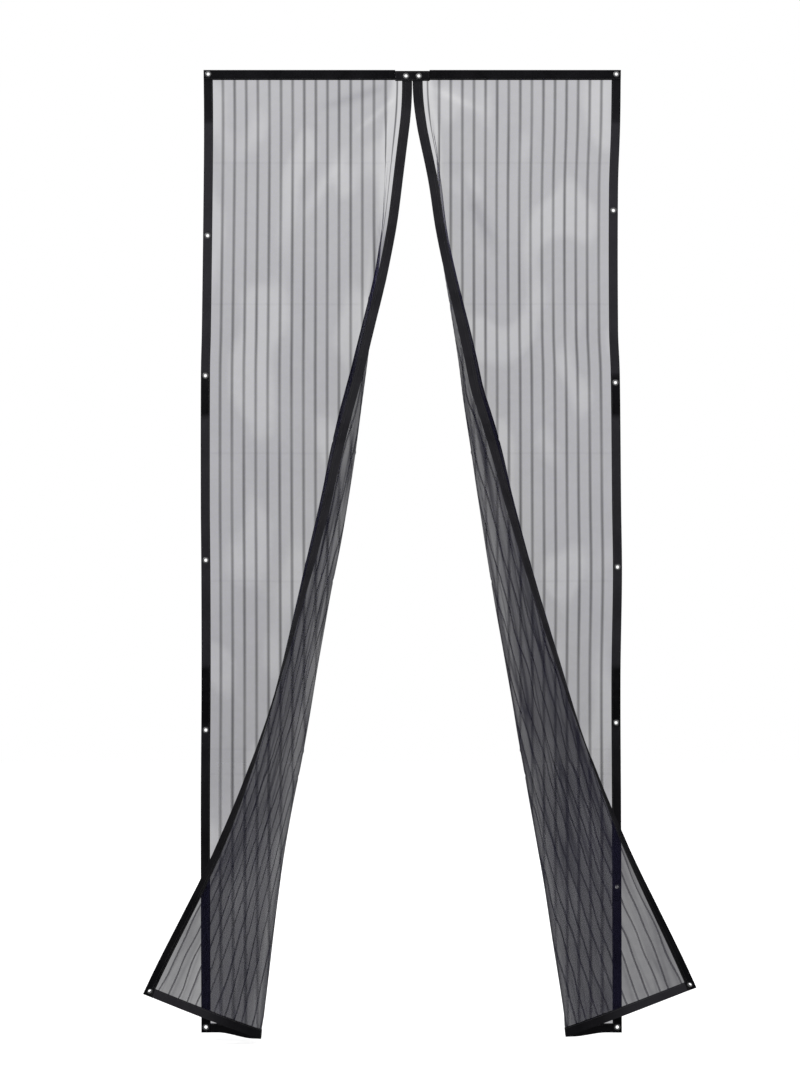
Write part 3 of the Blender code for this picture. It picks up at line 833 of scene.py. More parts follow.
def net_cover(side, across, drop, sizes):
    """Opacity of the net: more past the fold, beside the sleeve, in wrinkles and in creases."""
    seed = 61.7 if side == "left" else 83.1
    past = fold_share(side, across, drop)[1]
    flat = np.interp(drop, CLEAR_DROPS, CLEAR_SHARES)
    clear = flat + (np.interp(drop, FLAP_DROPS, FLAP_SHARES[side]) - flat) * past
    wrinkle = np.clip(1 - np.abs(gathers(side, across, drop)) / WRINKLE_SPAN, 0.0, 1.0)
    loose = ease(drop, *WRINKLE_START) * (1 - WRINKLE_FADE_SHARE * ease(drop, *WRINKLE_FADE))
    clear = clear * (1 - sizes.gather_depth * wrinkle * past * loose)
    share = fold_share(side, across, drop)[0]
    mouth = 1 - share - SLEEVE_WIDTH / fold_reach(side, drop)[1]
    drawn = np.interp(drop, GATHER_DROPS, GATHER_SHARES) * np.exp(-(mouth / GATHER_REACH) ** 2)
    streaks = ease(soft_noise(share, drop, seed + 7.0, STREAK_PITCH), -STREAK_EDGE, STREAK_EDGE)
    clear = clear * (1 - GATHER_DENSITY * drawn * past * (STREAK_SHARE + STREAK_SHARE * streaks))
    clear = clear + (1 - clear) * crease_glow(side, across, drop)
    haze = ease(soft_noise(across, drop, seed, HAZE_PITCH), *HAZE_EDGES)
    clear = clear * (1 + sizes.haze * haze * (1 - past))
    for crease_drop in PACKING_CREASES:
        line = np.exp(-((drop - crease_drop) / PACKING_LINE_WIDTH) ** 2)
        clear = clear * (1 - sizes.crease_depth * line)
    # Painted highlight and shade: raised pulls make the net clearer, sunken ones denser.
    for pull in PULLS[side]:
        shape = ridge(across, drop, pull[:4] + (1.0,) + pull[5:])
        clear = clear * (1 + PULL_SHEEN * math.copysign(1.0, pull[4]) * shape)
    return 1 - np.clip(clear ** sizes.density, LEAST_CLEAR, 1.0)


def net_rows():
    """Drops of the rows of the net, close together at the packing creases."""
    first = HEADER_WIDTH - SEAM_OVERLAP
    last = SCREEN_HEIGHT - HEM_TAPE_WIDTH + SEAM_OVERLAP
    rows = [
        drop for drop in steps_between(first, last, ROW_PITCH)
        if min(abs(drop - crease) for crease in PACKING_CREASES) > CREASE_ROW_CLEARANCE
    ]
    rows += [crease + step for crease in PACKING_CREASES for step in CREASE_ROWS]
    return np.array(sorted(rows))


def build_net(side, sizes):
    """One panel of net as a single wrinkled sheet."""
    first = SIDE_TAPE_WIDTH - SEAM_OVERLAP
    last = PANEL_WIDTH - SLEEVE_WIDTH + SEAM_OVERLAP
    columns = steps_between(first, last, COLUMN_PITCH)
    across, drop = np.meshgrid(columns, net_rows())
    points = cloth_points(side, across, drop, 0.0, sizes)
    net = grid_object(f"net_panel_{side}", [(points, flat_places(across, drop))])
    store_share(net.data, "cover", net_cover(side, across, drop, sizes))
    # Share of the net turned past the fold, which loses the painted sheen of the flat net.
    store_share(net.data, "turned", fold_share(side, across, drop)[1] * ease(drop, *FOLD_SHOWS))
    finish_piece(net, net_material("fine_net", sizes), [f"net_{side}"])


def build_stripes(side, sizes):
    """The woven stripes of one panel, each a low rib on the front of the net, firmer in its middle."""
    half = sizes.stripe_width / 2
    asides, heights, firmness = zip(*STRIPE_SECTION)
    rows = net_rows()
    inside = (rows > HEADER_WIDTH) & (rows < SCREEN_HEIGHT - HEM_TAPE_WIDTH)
    rows = np.concatenate([[HEADER_WIDTH], rows[inside], [SCREEN_HEIGHT - HEM_TAPE_WIDTH]])
    seed = 5.3 if side == "left" else 17.7
    grids = []
    cover = []
    for index in range(STRIPES_PER_PANEL):
        centre = STRIPE_INSET + STRIPE_PITCH * index
        turned = fold_share(side, centre, rows)[1]
        narrow = 1 - PAST_NARROW * turned
        wander = PAST_WANDER * turned * soft_noise(centre + rows * 0, rows, seed + 4.0, WANDER_PITCH)
        middle = centre + wander * ease(rows, *WANDER_SETS_IN)
        across = middle[:, None] + half * np.outer(narrow, asides)
        drop = np.repeat(rows[:, None], len(STRIPE_SECTION), axis=1)
        lift = np.tile([height * sizes.stripe_height / 2 for height in heights], (len(rows), 1))
        points = cloth_points(side, across, drop, lift, sizes)
        grids.append((points, flat_places(across, drop)))
        uneven = soft_noise(centre + drop * 0, drop, seed, STRIPE_TONE_PITCH)
        past = fold_share(side, across, drop)[1]
        firm = np.tile(firmness, (len(rows), 1)) * (1 - crease_glow(side, across, drop))
        density = sizes.stripe_density + STRIPE_UNEVEN * uneven + STRIPE_PAST_GAIN * past
        cover.append(firm * np.clip(density, 0.0, STRIPE_DENSEST))
    stripes = grid_object(f"net_stripes_{side}", grids)
    store_share(stripes.data, "cover", np.concatenate(cover))
    finish_piece(stripes, net_material("woven_stripe", sizes, dense=True))


def tape_object(name, points, around, along, painted_sheen):
    """A doubled tape from its middle surface, its places round and along the tape, and its painted sheen, as
    greying.
    """
    tape = grid_object(name, [(points, flat_places(around, along))])
    store_share(tape.data, "painted_sheen", painted_sheen)
    thicken_tape(tape)
    return tape


def build_header(side, sizes):
    """Header tape of one panel, doubled over its top edge."""
    profile = folded_profile(HEADER_WIDTH)
    run = run_lengths(profile)
    ends = steps_between(0.0, SCREEN_WIDTH / 2 - JOIN_WIDTH / 2 - SEAM_GAP, 0.006)
    drop, across = np.meshgrid([distance for distance, _ in profile], ends, indexing="ij")
    lift = np.tile([[share * TAPE_LIFT] for _, share in profile], (1, len(ends)))
    around = np.tile(run[:, None], (1, len(ends)))
    # Painted sheen, even along the header tape.
    painted_sheen = across * 0 + HEADER_SHEEN
    points = cloth_points(side, across, drop, lift)
    tape = tape_object(f"header_binding_{side}", points, around, across, painted_sheen)
    punch_holes(tape, [eyelet_places(side)[0][1]])
    finish_tape(tape, sizes, f"header_tape_{side}")


def build_join(sizes):
    """Short tape that joins the two panels, doubled over their tops."""
    profile = folded_profile(HEADER_WIDTH)
    run = run_lengths(profile)
    ends = steps_between(-JOIN_WIDTH / 2, JOIN_WIDTH / 2, 0.004)
    distance, x = np.meshgrid([distance for distance, _ in profile], ends, indexing="ij")
    lift = np.tile([[share * TAPE_LIFT] for _, share in profile], (1, len(ends)))
    points = np.stack([x, -TAPE_FACE - lift, ORIGIN_DROP - JOIN_SAG - distance], axis=-1)
    around = np.tile(run[:, None], (1, len(ends)))
    # Painted sheen, even over the join.
    join = tape_object("centre_join_binding", points, around, x, x * 0 + JOIN_SHEEN)
    punch_holes(join, [eyelet_places(side)[EYELETS_PER_SIDE][1] for side in SIDES])
    finish_tape(join, sizes, "centre_join")


def build_side_tape(side, sizes):
    """Outer side tape, doubled over the outer edge."""
    profile = folded_profile(SIDE_TAPE_WIDTH)
    run = run_lengths(profile)
    rows = steps_between(HEADER_WIDTH + SEAM_GAP, SCREEN_HEIGHT, 0.007)
    across, drop = np.meshgrid([distance for distance, _ in profile], rows)
    lift = np.tile([share * TAPE_LIFT for _, share in profile], (len(rows), 1))
    around = np.tile(run, (len(rows), 1))
    # Painted sheen down the side tape, greyer where it catches the light.
    painted_sheen = np.interp(drop, *zip(*SIDE_TAPE_SHEEN))
    points = cloth_points(side, across, drop, lift)
    tape = tape_object(f"side_binding_{side}", points, around, drop, painted_sheen)
    punch_holes(tape, [place[1] for place in eyelet_places(side)[1:EYELETS_PER_SIDE]])
    finish_tape(tape, sizes, f"side_tape_{side}")


def build_hem(side, sizes):
    """Hem tape, doubled over the bottom edge and taken round the fold."""
    profile = folded_profile(HEM_TAPE_WIDTH)
    run = run_lengths(profile)
    start = SIDE_TAPE_WIDTH + SEAM_GAP
    columns = steps_between(start, PANEL_WIDTH - SLEEVE_WIDTH - SEAM_GAP, 0.004)
    distance, across = np.meshgrid([distance for distance, _ in profile], columns, indexing="ij")
    drop = SCREEN_HEIGHT - distance
    lift = np.tile([[share * TAPE_LIFT] for _, share in profile], (1, len(columns)))
    around = np.tile(run[:, None], (1, len(columns)))
    # Painted sheen on the hem, more of it past the fold.
    painted_sheen = HEM_SHEEN + HEM_SHEEN_GAIN * ease(across, *HEM_SHEEN_ACROSS)
    points = cloth_points(side, across, drop, lift)
    tape = tape_object(f"hem_binding_{side}", points, around, across, painted_sheen)
    finish_tape(tape, sizes, f"hem_tape_{side}")


def sleeve_profile(full):
    """Section of the magnet sleeve at one fullness: distance from the fold and lift in metres."""
    seam = CHANNEL_END + CHANNEL_SEAM_OFFSET
    channel = TAPE_LIFT + (CHANNEL_LIFT - TAPE_LIFT) * full
    mouth = SLEEVE_WIDTH
    front = [
        (mouth, 0.66 * TAPE_LIFT), (mouth - 0.0006, 0.74 * TAPE_LIFT), (mouth - 0.0022, 0.7 * TAPE_LIFT),
        (mouth - MOUTH_STITCH_INSET, 0.58 * TAPE_LIFT), (mouth - 0.0036, 0.74 * TAPE_LIFT),
        (seam + 0.0012, 0.8 * TAPE_LIFT), (seam, 0.6 * TAPE_LIFT), (seam - 0.0010, 0.85 * TAPE_LIFT),
        (CHANNEL_END, channel), (CHANNEL_END * 0.75, channel), (CHANNEL_END * 0.5, channel),
        (CHANNEL_END * 0.25 + 0.0008, channel), (MAGNET_EDGE_INSET, channel),
    ]
    low = TAPE_WALL / 2
    for turn in (60, 35, 15):
        angle = math.radians(turn)
        front.append((low + (MAGNET_EDGE_INSET - low) * (1 - math.cos(angle)), channel * math.sin(angle)))
    back = [(distance, -height) for distance, height in reversed(front)]
    return front + [(low, 0.0)] + back


def build_sleeve(side, sizes):
    """Magnet sleeve on the free inner edge, full over each bar and flatter between."""
    rows = steps_between(JOIN_BOTTOM + SEAM_GAP, SCREEN_HEIGHT, 0.006)
    full = channel_share(rows)
    sections = np.array([sleeve_profile(share) for share in full])
    across = PANEL_WIDTH - sections[..., 0]
    drop = np.tile(rows[:, None], (1, sections.shape[1]))
    run = np.cumsum(np.hypot(*np.diff(sections[0], axis=0, prepend=sections[0][:1]).T))
    around = np.tile(run, (len(rows), 1))
    # Painted sheen on the sleeve by drop, a little less of it over each magnet.
    painted_sheen = np.interp(drop, SLEEVE_SHEEN_DROPS, SLEEVE_SHEEN_SHARES)
    painted_sheen = painted_sheen - SLEEVE_SHEEN_LOSS * (full[:, None] - 0.5)
    points = cloth_points(side, across, drop, sections[..., 1])
    tape = tape_object(f"magnet_binding_{side}", points, around, drop, painted_sheen)
    punch_holes(tape, [eyelet_places(side)[-1][1]])
    finish_tape(tape, sizes, f"magnet_sleeve_{side}")


def stitch_runs(side):
    """Stitch lines in the tapes of one side, each as across and drop of its start and its end."""
    seam = SEAM_OVERLAP / 2
    inner = PANEL_WIDTH - SLEEVE_WIDTH
    inset = 0.001
    header = HEADER_WIDTH - seam
    outer = SIDE_TAPE_WIDTH - seam
    hem = SCREEN_HEIGHT - HEM_TAPE_WIDTH + seam
    foot = SCREEN_HEIGHT - inset
    runs = [
        ((inset, header), (SCREEN_WIDTH / 2 - JOIN_WIDTH / 2 - inset, header)),
        ((outer, HEADER_WIDTH + 2 * inset), (outer, foot)),
        ((SIDE_TAPE_WIDTH + inset, hem), (inner - inset, hem)),
    ]
    for down in (inner + MOUTH_STITCH_INSET, PANEL_WIDTH - CHANNEL_END - CHANNEL_SEAM_OFFSET):
        runs.append(((down, JOIN_BOTTOM + 2 * inset), (down, foot)))
    return runs


def stitch_shares(length, pitch):
    """Where the stitches of one line start and where they end, as shares of its length."""
    count = int(length / pitch)
    place = (np.arange(count) + 0.5) / count
    reach = pitch * STITCH_REACH / length
    return place - reach, place + reach


def stitch_mesh(name, starts, ends, normals, cloth):
    """Short twisted thread loops, each a tapered bead between two points just off the tape."""
    middle = (starts + ends) / 2
    half = (ends - starts) / 2
    length = np.linalg.norm(half, axis=1, keepdims=True)
    way = half / length
    aside = np.cross(normals, way)
    points = []
    for along, size, lift in STITCH_RINGS:
        centre = middle + half * along + normals * (lift * STITCH_RADIUS)
        for turn in STITCH_TURNS:
            angle = math.radians(turn)
            ring = aside * math.cos(angle) + normals * math.sin(angle)
            points.append(centre + ring * STITCH_RADIUS * size)
    points = np.stack(points, axis=1)
    sides = len(STITCH_TURNS)
    corners = sides * len(STITCH_RINGS)
    quads = []
    for first in range(0, corners - sides, sides):
        for corner in range(sides):
            after = (corner + 1) % sides
            quads.append((first + corner, first + after, first + sides + after, first + sides + corner))
    start_cap = tuple(range(sides - 1, -1, -1))
    end_cap = tuple(range(corners - sides, corners))
    pattern = np.array(quads + [start_cap, end_cap])
    faces = (pattern[None] + (np.arange(len(starts)) * corners)[:, None, None]).reshape(-1, 4)
    mesh = bpy.data.meshes.new(name)
    mesh.from_pydata(points.reshape(-1, 3).tolist(), [], faces.tolist())
    mesh.polygons.foreach_set("use_smooth", [True] * len(mesh.polygons))
    store_places(mesh, np.repeat(cloth, corners, axis=0))
    return link_object(name, mesh)


def build_stitching(side, sizes):
    """Lockstitch along every binding of one side, on its front and its back."""
    starts, ends, normals, cloth = [], [], [], []
    for (across_1, drop_1), (across_2, drop_2) in stitch_runs(side):
        length = math.hypot(across_2 - across_1, drop_2 - drop_1)
        for face in (1, -1):
            for share, store in zip(stitch_shares(length, sizes.stitch_pitch), (starts, ends)):
                across = across_1 + (across_2 - across_1) * share
                drop = drop_1 + (drop_2 - drop_1) * share
                point, _, normal = cloth_frame(side, across, drop)
                store.append(point + normal * (face * SEWN_LIFT))
            normals.append(normal * face)
            cloth.append(flat_places(across, drop))
    stitching = stitch_mesh(
        f"stitching_{side}", np.concatenate(starts), np.concatenate(ends),
        np.concatenate(normals), np.concatenate(cloth))
    finish_piece(stitching, thread_material(sizes))


def build_join_stitching(sizes):
    """Box of lockstitch round the centre join, front and back."""
    seam = SEAM_OVERLAP / 2
    half = JOIN_WIDTH / 2 - 0.002
    top = ORIGIN_DROP - JOIN_SAG - 0.003
    bottom = ORIGIN_DROP - JOIN_SAG - HEADER_WIDTH + seam
    lift = TAPE_LIFT + TAPE_WALL / 2
    starts, ends, normals = [], [], []
    for (x_1, z_1), (x_2, z_2), height in (
        ((-half, bottom), (half, bottom), SEWN_LIFT),
        ((-half, top), (half, top), lift),
        ((-half, top), (-half, bottom + 0.003), lift),
        ((half, top), (half, bottom + 0.003), lift),
    ):
        length = math.hypot(x_2 - x_1, z_2 - z_1)
        for face in (1, -1):
            for share, store in zip(stitch_shares(length, sizes.stitch_pitch), (starts, ends)):
                x = x_1 + (x_2 - x_1) * share
                z = z_1 + (z_2 - z_1) * share
                store.append(np.stack([x, x * 0 - TAPE_FACE - face * height, z], axis=-1))
            normals.append(np.tile([[0.0, -face, 0.0]], (len(share), 1)))
    first = np.concatenate(starts)
    stitching = stitch_mesh("stitching_centre", first, np.concatenate(ends), np.concatenate(normals), first)
    finish_piece(stitching, thread_material(sizes))


def eyelet_profile(reach):
    """Closed section of an eyelet: radius, height off the cloth's middle and wear."""
    bore = EYELET_BORE / 2
    barrel = bore + EYELET_WALL
    rim = EYELET_FLANGE / 2
    seat = reach + 0.00005
    return [
        (bore, seat - 0.0001, 0.0), (bore + 0.0001, seat + 0.00035, 0.4),
        (bore + 0.0005, seat + 0.00072, 1.0),
        (bore + 0.0011, seat + 0.00082, 1.0), (rim - 0.0014, seat + 0.00070, 0.5),
        (rim - 0.0006, seat + 0.00052, 0.4), (rim - 0.00015, seat + 0.00030, 1.0),
        (rim, seat + 0.00008, 0.6), (rim - 0.0001, seat, 0.0),
        (barrel, seat, 0.0), (barrel, -reach, 0.0), (rim - 0.0012, -reach - 0.00002, 0.0),
        (rim - 0.0010, -reach - 0.00012, 0.6), (rim - 0.0013, -reach - 0.00026, 0.8),
        (bore + 0.0012, -reach - 0.00030, 0.8), (bore + 0.0003, -reach - 0.00022, 1.0),
        (bore, -reach + 0.0001, 0.2),
    ]


def turned_mesh(name, profile, segments):
    """Closed solid of revolution from a section, with its wear kept per vertex."""
    turns = np.arange(segments) * math.tau / segments
    radius, height, wear = np.array(profile).T
    points = np.stack([
        np.outer(np.cos(turns), radius), np.outer(np.sin(turns), radius),
        np.tile(height, (segments, 1))], axis=-1)
    count = len(profile)
    index = np.arange(segments * count).reshape(segments, count)
    after = np.roll(index, -1, axis=0)
    corners = np.stack([index, after, np.roll(after, -1, axis=1), np.roll(index, -1, axis=1)], axis=-1)
    mesh = bpy.data.meshes.new(name)
    mesh.from_pydata(points.reshape(-1, 3).tolist(), [], corners.reshape(-1, 4).tolist())
    mesh.polygons.foreach_set("use_smooth", [True] * len(mesh.polygons))
    store_places(mesh, points)
    store_share(mesh, "rim", np.tile(wear, segments))
    return mesh


def build_eyelets(side, sizes):
    """All eyelets of one side, each with a rolled front flange and a clinched back."""
    meshes = {}
    for name, matrix, reach in eyelet_places(side):
        if reach not in meshes:
            meshes[reach] = turned_mesh(f"eyelet_{side}_{len(meshes)}", eyelet_profile(reach), 40)
        eyelet = link_object(f"turned_{name}", meshes[reach])
        eyelet.matrix_world = matrix
        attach(eyelet, "root")
        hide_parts(name)
    for mesh in meshes.values():
        mesh.materials.append(enamel_material(sizes))


def build_bars(side):
    """The ferrite bars in one sleeve, with their edges broken, each in the middle of its pocket."""
    build = bmesh.new()
    size = Matrix.Diagonal((MAGNET_WIDTH, MAGNET_LENGTH, MAGNET_THICKNESS, 1.0))
    bmesh.ops.create_cube(build, size=1.0, matrix=size)
    bmesh.ops.bevel(build, geom=build.edges, offset=MAGNET_CHAMFER, segments=1, affect="EDGES")
    mesh = bpy.data.meshes.new(f"ferrite_bar_{side}")
    build.to_mesh(mesh)
    build.free()
    mesh.materials.append(ferrite_material())
    middle = PANEL_WIDTH - MAGNET_EDGE_INSET - MAGNET_WIDTH / 2
    for index, drop in enumerate(magnet_drops()):
        bar = link_object(f"ferrite_bar_{side}_{index + 1}", mesh)
        bar.matrix_world = spot_matrix(side, middle, drop)
        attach(bar, "root")
        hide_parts(f"magnet_{side}_{index + 1}")


# Stage

def build_stage(stage):
    """Plain pale floor, soft lamps, even sky and the camera."""
    scene = bpy.context.scene
    scene.view_settings.view_transform = "Standard"
    world = bpy.data.worlds.new("studio_sky")
    world.use_nodes = True
    scene.world = world
    sky = NodeBuilder(world.node_tree)
    seen = seen_share(sky)
    strength = sky.math("MAXIMUM", seen, stage.sky_level)
    background = world.node_tree.nodes["Background"]
    background.inputs["Color"].default_value = (1.0, 1.0, 1.0, 1.0)
    world.node_tree.links.new(strength, background.inputs["Strength"])

    mesh = bpy.data.meshes.new("studio_floor")
    half = 9.0
    level = stage.floor_level
    mesh.from_pydata([(-half, -half, level), (half, -half, level), (half, half, level), (-half, half, level)],
                     [], [(0, 1, 2, 3)])
    floor = link_object("studio_floor", mesh)
    paint, build, shader = new_material(
        "pale_floor", Base_Color=tuple(stage.floor_colour) + (1.0,), Roughness=0.9, Specular_IOR_Level=0.1,
        Emission_Color=(1.0, 1.0, 1.0, 1.0))
    glow = build.math("MULTIPLY", seen_share(build), stage.floor_glow)
    build.tree.links.new(glow, shader.inputs["Emission Strength"])
    mesh.materials.append(paint)

    for name, place, aim, size, power in (
        ("key_lamp", (-2.6, -4.6, 1.6), (0.0, 0.0, -0.9), 2.6, stage.key_power),
        ("fill_lamp", (3.0, -4.4, 0.6), (0.0, 0.0, -1.1), 3.0, stage.fill_power),
        ("back_lamp", (0.6, 4.0, 2.4), (0.0, 0.0, -0.8), 3.0, stage.back_power),
    ):
        light = bpy.data.lights.new(name, "AREA")
        light.shape = "DISK"
        light.size = size
        light.energy = power
        lamp = bpy.data.objects.new(name, light)
        scene.collection.objects.link(lamp)
        lamp.location = place
        lamp.rotation_euler = (Vector(aim) - Vector(place)).to_track_quat("-Z", "Y").to_euler()

    lens = bpy.data.cameras.new("camera")
    lens.sensor_fit = "VERTICAL"
    lens.sensor_height = 36.0
    lens.lens = 36.0 * stage.camera_distance / stage.frame_height
    lens.clip_end = 100.0
    camera = bpy.data.objects.new("camera", lens)
    scene.collection.objects.link(camera)
    camera.location = (stage.camera_aside, -stage.camera_distance, stage.camera_height)
    camera.rotation_euler = (math.pi / 2, 0.0, 0.0)
    scene.camera = camera


def seen_share(build):
    """1 for rays from the eye, from gloss and through glass, else 0."""
    path = build.add("ShaderNodeLightPath")
    direct = build.math("MAXIMUM", path.outputs["Is Camera Ray"], path.outputs["Is Glossy Ray"])
    return build.math("MAXIMUM", direct, path.outputs["Is Transmission Ray"])


# Settings, operators and panel

class ScreenClothSettings(PropertyGroup):
    """Sizes and colours of the net."""
    swell_height: FloatProperty(
        name="Swell", description="Height of the slow swells in the net",
        default=0.0042, min=0.0, max=0.02, unit="LENGTH")
    crease_height: FloatProperty(
        name="Packing crease", description="Height of the creases left by the packet",
        default=0.0011, min=0.0, max=0.005, unit="LENGTH")
    pull_height: FloatProperty(
        name="Pulls", description="Share of the full height of the pulls beside the join",
        default=1.0, min=0.0, max=3.0)
    stripe_width: FloatProperty(
        name="Stripe width", description="Width of one woven stripe",
        default=0.0092, min=0.001, max=0.012, unit="LENGTH")
    stripe_height: FloatProperty(
        name="Stripe thickness", description="Thickness of one woven stripe through the net",
        default=0.0010, min=0.0002, max=0.002, unit="LENGTH")
    stripe_density: FloatProperty(
        name="Stripe density", description="Opacity of one face of a woven stripe",
        default=0.64, min=0.0, max=1.0, subtype="FACTOR")
    gather_height: FloatProperty(
        name="Gather height", description="Height of the long wrinkles past the fold",
        default=0.0022, min=0.0, max=0.01, unit="LENGTH")
    gather_depth: FloatProperty(
        name="Gather depth", description="How far the long wrinkles darken the net past the fold",
        default=0.72, min=0.0, max=1.0, subtype="FACTOR")
    crease_depth: FloatProperty(
        name="Crease depth", description="How far the packing creases darken the net",
        default=0.06, min=0.0, max=1.0, subtype="FACTOR")
    haze: FloatProperty(
        name="Haze", description="How much clearer the thin patches of the net are",
        default=0.16, min=0.0, max=0.5, subtype="FACTOR")
    density: FloatProperty(
        name="Net density", description="Density of the net against its measured one",
        default=1.0, min=0.2, max=3.0)
    mesh_pitch: FloatProperty(
        name="Mesh pitch", description="Distance between two threads of the net",
        default=0.0012, min=0.0005, max=0.005, precision=5, unit="LENGTH")
    thread_colour: FloatVectorProperty(
        name="Thread colour", description="Colour of the net's threads",
        default=(0.0065, 0.006, 0.0145), min=0.0, max=1.0, size=3, subtype="COLOR")
    # Painted sheen of the net where it hangs flat as a single layer.
    flat_sheen_colour: FloatVectorProperty(
        name="Veil colour", description="Colour of the net where it hangs flat as a single layer",
        default=(0.009, 0.006, 0.040), min=0.0, max=1.0, size=3, subtype="COLOR")


class ScreenTapeSettings(PropertyGroup):
    """Sizes and colours of the bindings, thread and eyelets."""
    tape_colour: FloatVectorProperty(
        name="Tape colour", description="Colour of the binding in its dark parts",
        default=(0.0014, 0.0014, 0.0017), min=0.0, max=1.0, size=3, subtype="COLOR")
    # Grey of the binding's painted sheen.
    tape_sheen_colour: FloatVectorProperty(
        name="Lit tape colour", description="Colour of the binding where it is greyest",
        default=(0.034, 0.033, 0.038), min=0.0, max=1.0, size=3, subtype="COLOR")
    webbing_pitch: FloatProperty(
        name="Webbing pitch", description="Distance between two ribs of the binding",
        default=0.0014, min=0.0005, max=0.005, precision=5, unit="LENGTH")
    stitch_pitch: FloatProperty(
        name="Stitch length", description="Length of one stitch with its gap",
        default=0.0036, min=0.001, max=0.01, precision=5, unit="LENGTH")
    thread_tone: FloatProperty(
        name="Thread tone", description="Brightness of the sewing thread",
        default=0.02, min=0.0, max=1.0)
    enamel_colour: FloatVectorProperty(
        name="Enamel colour", description="Colour of the eyelets",
        default=(0.010, 0.010, 0.011), min=0.0, max=1.0, size=3, subtype="COLOR")
    eyelet_wear: FloatProperty(
        name="Eyelet wear", description="How far the enamel is rubbed off the rims",
        default=0.6, min=0.0, max=1.0, subtype="FACTOR")


class ScreenStageSettings(PropertyGroup):
    """Floor, lamps and camera."""
    floor_colour: FloatVectorProperty(
        name="Floor colour", description="Colour of the floor",
        default=(0.96, 0.96, 0.96), min=0.0, max=1.0, size=3, subtype="COLOR")
    floor_level: FloatProperty(
        name="Floor level", description="Height of the floor, just under the hem",
        default=-2.108, unit="LENGTH")
    floor_glow: FloatProperty(
        name="Floor white", description="White that the floor adds where it is seen",
        default=0.47, min=0.0, max=1.0)
    sky_level: FloatProperty(
        name="Sky level", description="Strength of the even light from all round",
        default=0.55, min=0.0, max=1.0)
    key_power: FloatProperty(
        name="Key lamp", description="Power of the key lamp",
        default=150.0, unit="POWER")
    fill_power: FloatProperty(
        name="Fill lamp", description="Power of the fill lamp",
        default=70.0, unit="POWER")
    back_power: FloatProperty(
        name="Back lamp", description="Power of the back lamp",
        default=60.0, unit="POWER")
    camera_distance: FloatProperty(
        name="Camera distance", description="Distance of the camera from the panels",
        default=7.0, unit="LENGTH")
    camera_aside: FloatProperty(
        name="Camera aside", description="Camera's place across the doorway",
        default=-0.027, unit="LENGTH")
    camera_height: FloatProperty(
        name="Camera height", description="Camera's height from the middle of the header",
        default=-1.0245, unit="LENGTH")
    frame_height: FloatProperty(
        name="Frame height", description="Height that the picture covers at the panels",
        default=2.3806, unit="LENGTH")


def cloth_settings(context):
    """Settings of the net."""
    return context.scene.insect_screen_cloth


def tape_settings(context):
    """Settings of the bindings."""
    return context.scene.insect_screen_tape


class SCREEN_OT_nets(Operator):
    """Build both net panels with their woven stripes"""
    bl_idname = "insect_screen.nets"
    bl_label = "Net panels"

    def execute(self, context):
        for side in SIDES:
            build_net(side, cloth_settings(context))
            build_stripes(side, cloth_settings(context))
        return {"FINISHED"}


class SCREEN_OT_headers(Operator):
    """Build the header tapes and the centre join"""
    bl_idname = "insect_screen.headers"
    bl_label = "Header tapes and join"

    def execute(self, context):
        for side in SIDES:
            build_header(side, tape_settings(context))
        build_join(tape_settings(context))
        return {"FINISHED"}


class SCREEN_OT_side_tapes(Operator):
    """Build the outer side tapes"""
    bl_idname = "insect_screen.side_tapes"
    bl_label = "Side tapes"

    def execute(self, context):
        for side in SIDES:
            build_side_tape(side, tape_settings(context))
        return {"FINISHED"}


class SCREEN_OT_hems(Operator):
    """Build the hem tapes"""
    bl_idname = "insect_screen.hems"
    bl_label = "Hem tapes"

    def execute(self, context):
        for side in SIDES:
            build_hem(side, tape_settings(context))
        return {"FINISHED"}


class SCREEN_OT_sleeves(Operator):
    """Build the magnet sleeves and the bars inside them"""
    bl_idname = "insect_screen.sleeves"
    bl_label = "Magnet sleeves"

    def execute(self, context):
        for side in SIDES:
            build_sleeve(side, tape_settings(context))
            build_bars(side)
        return {"FINISHED"}


class SCREEN_OT_stitching(Operator):
    """Build the stitching of all bindings"""
    bl_idname = "insect_screen.stitching"
    bl_label = "Stitching"

    def execute(self, context):
        for side in SIDES:
            build_stitching(side, tape_settings(context))
        build_join_stitching(tape_settings(context))
        return {"FINISHED"}


class SCREEN_OT_eyelets(Operator):
    """Build the eyelets"""
    bl_idname = "insect_screen.eyelets"
    bl_label = "Eyelets"

    def execute(self, context):
        for side in SIDES:
            build_eyelets(side, tape_settings(context))
        return {"FINISHED"}


class SCREEN_OT_declare(Operator):
    """List the pieces sewn to each net panel; the lists are not used further"""
    bl_idname = "insect_screen.declare"
    bl_label = "State the sheets"

    def execute(self, context):
        for side in SIDES:
            sewn = [
                f"net_stripes_{side}", f"header_binding_{side}", f"side_binding_{side}",
                f"hem_binding_{side}", f"magnet_binding_{side}", f"stitching_{side}",
            ]
            sewn += [f"turned_{place[0]}" for place in eyelet_places(side)]
            sewn += [f"ferrite_bar_{side}_{index}" for index in range(1, len(magnet_drops()) + 1)]
            if side == "left":
                sewn += ["centre_join_binding", "stitching_centre"]
        return {"FINISHED"}


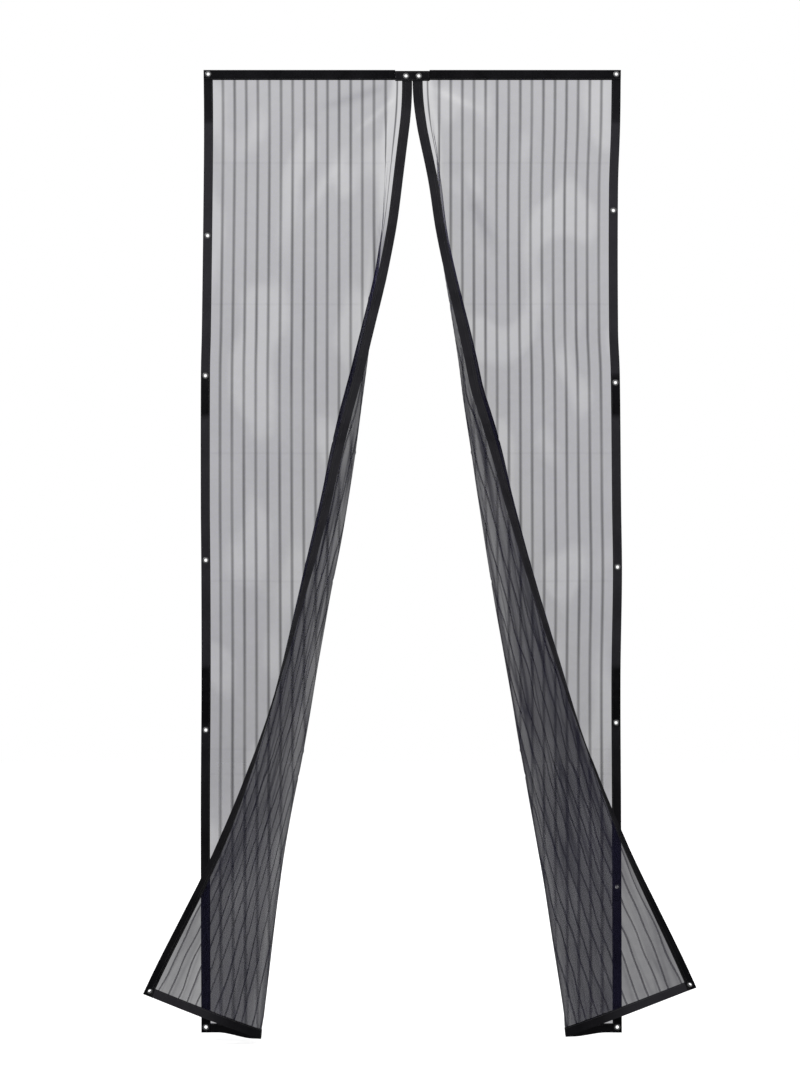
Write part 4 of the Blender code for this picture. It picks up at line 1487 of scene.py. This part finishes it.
class SCREEN_OT_stage(Operator):
    """Build the floor, lamps, sky and camera"""
    bl_idname = "insect_screen.stage"
    bl_label = "Stage"

    def execute(self, context):
        build_stage(context.scene.insect_screen_stage)
        return {"FINISHED"}


OPERATORS = (
    SCREEN_OT_nets,
    SCREEN_OT_headers,
    SCREEN_OT_side_tapes,
    SCREEN_OT_hems,
    SCREEN_OT_sleeves,
    SCREEN_OT_stitching,
    SCREEN_OT_eyelets,
    SCREEN_OT_declare,
    SCREEN_OT_stage,
)


class SCREEN_PT_panel(Panel):
    """Lists the pieces of the screen and their settings"""
    bl_label = "Insect screen"
    bl_idname = "SCREEN_PT_panel"
    bl_space_type = "VIEW_3D"
    bl_region_type = "UI"
    bl_category = "Insect screen"

    def draw(self, context):
        layout = self.layout
        for operator in OPERATORS:
            layout.operator(operator.bl_idname)
        for settings in (
            context.scene.insect_screen_cloth,
            context.scene.insect_screen_tape,
            context.scene.insect_screen_stage,
        ):
            box = layout.box()
            for name in settings.__annotations__:
                box.prop(settings, name)


SETTINGS = (ScreenClothSettings, ScreenTapeSettings, ScreenStageSettings)


def register():
    """Register the settings, operators and panel."""
    for item in SETTINGS + OPERATORS + (SCREEN_PT_panel,):
        bpy.utils.register_class(item)
    bpy.types.Scene.insect_screen_cloth = PointerProperty(type=ScreenClothSettings)
    bpy.types.Scene.insect_screen_tape = PointerProperty(type=ScreenTapeSettings)
    bpy.types.Scene.insect_screen_stage = PointerProperty(type=ScreenStageSettings)


def unregister():
    """Take the settings, operators and panel away."""
    del bpy.types.Scene.insect_screen_stage
    del bpy.types.Scene.insect_screen_tape
    del bpy.types.Scene.insect_screen_cloth
    for item in reversed(SETTINGS + OPERATORS + (SCREEN_PT_panel,)):
        bpy.utils.unregister_class(item)


def main():
    """Build the whole screen and its stage."""
    register()
    bpy.ops.insect_screen.nets()
    bpy.ops.insect_screen.headers()
    bpy.ops.insect_screen.side_tapes()
    bpy.ops.insect_screen.hems()
    bpy.ops.insect_screen.sleeves()
    bpy.ops.insect_screen.stitching()
    bpy.ops.insect_screen.eyelets()
    bpy.ops.insect_screen.declare()
    bpy.ops.insect_screen.stage()


if __name__ == "__main__":
    main()
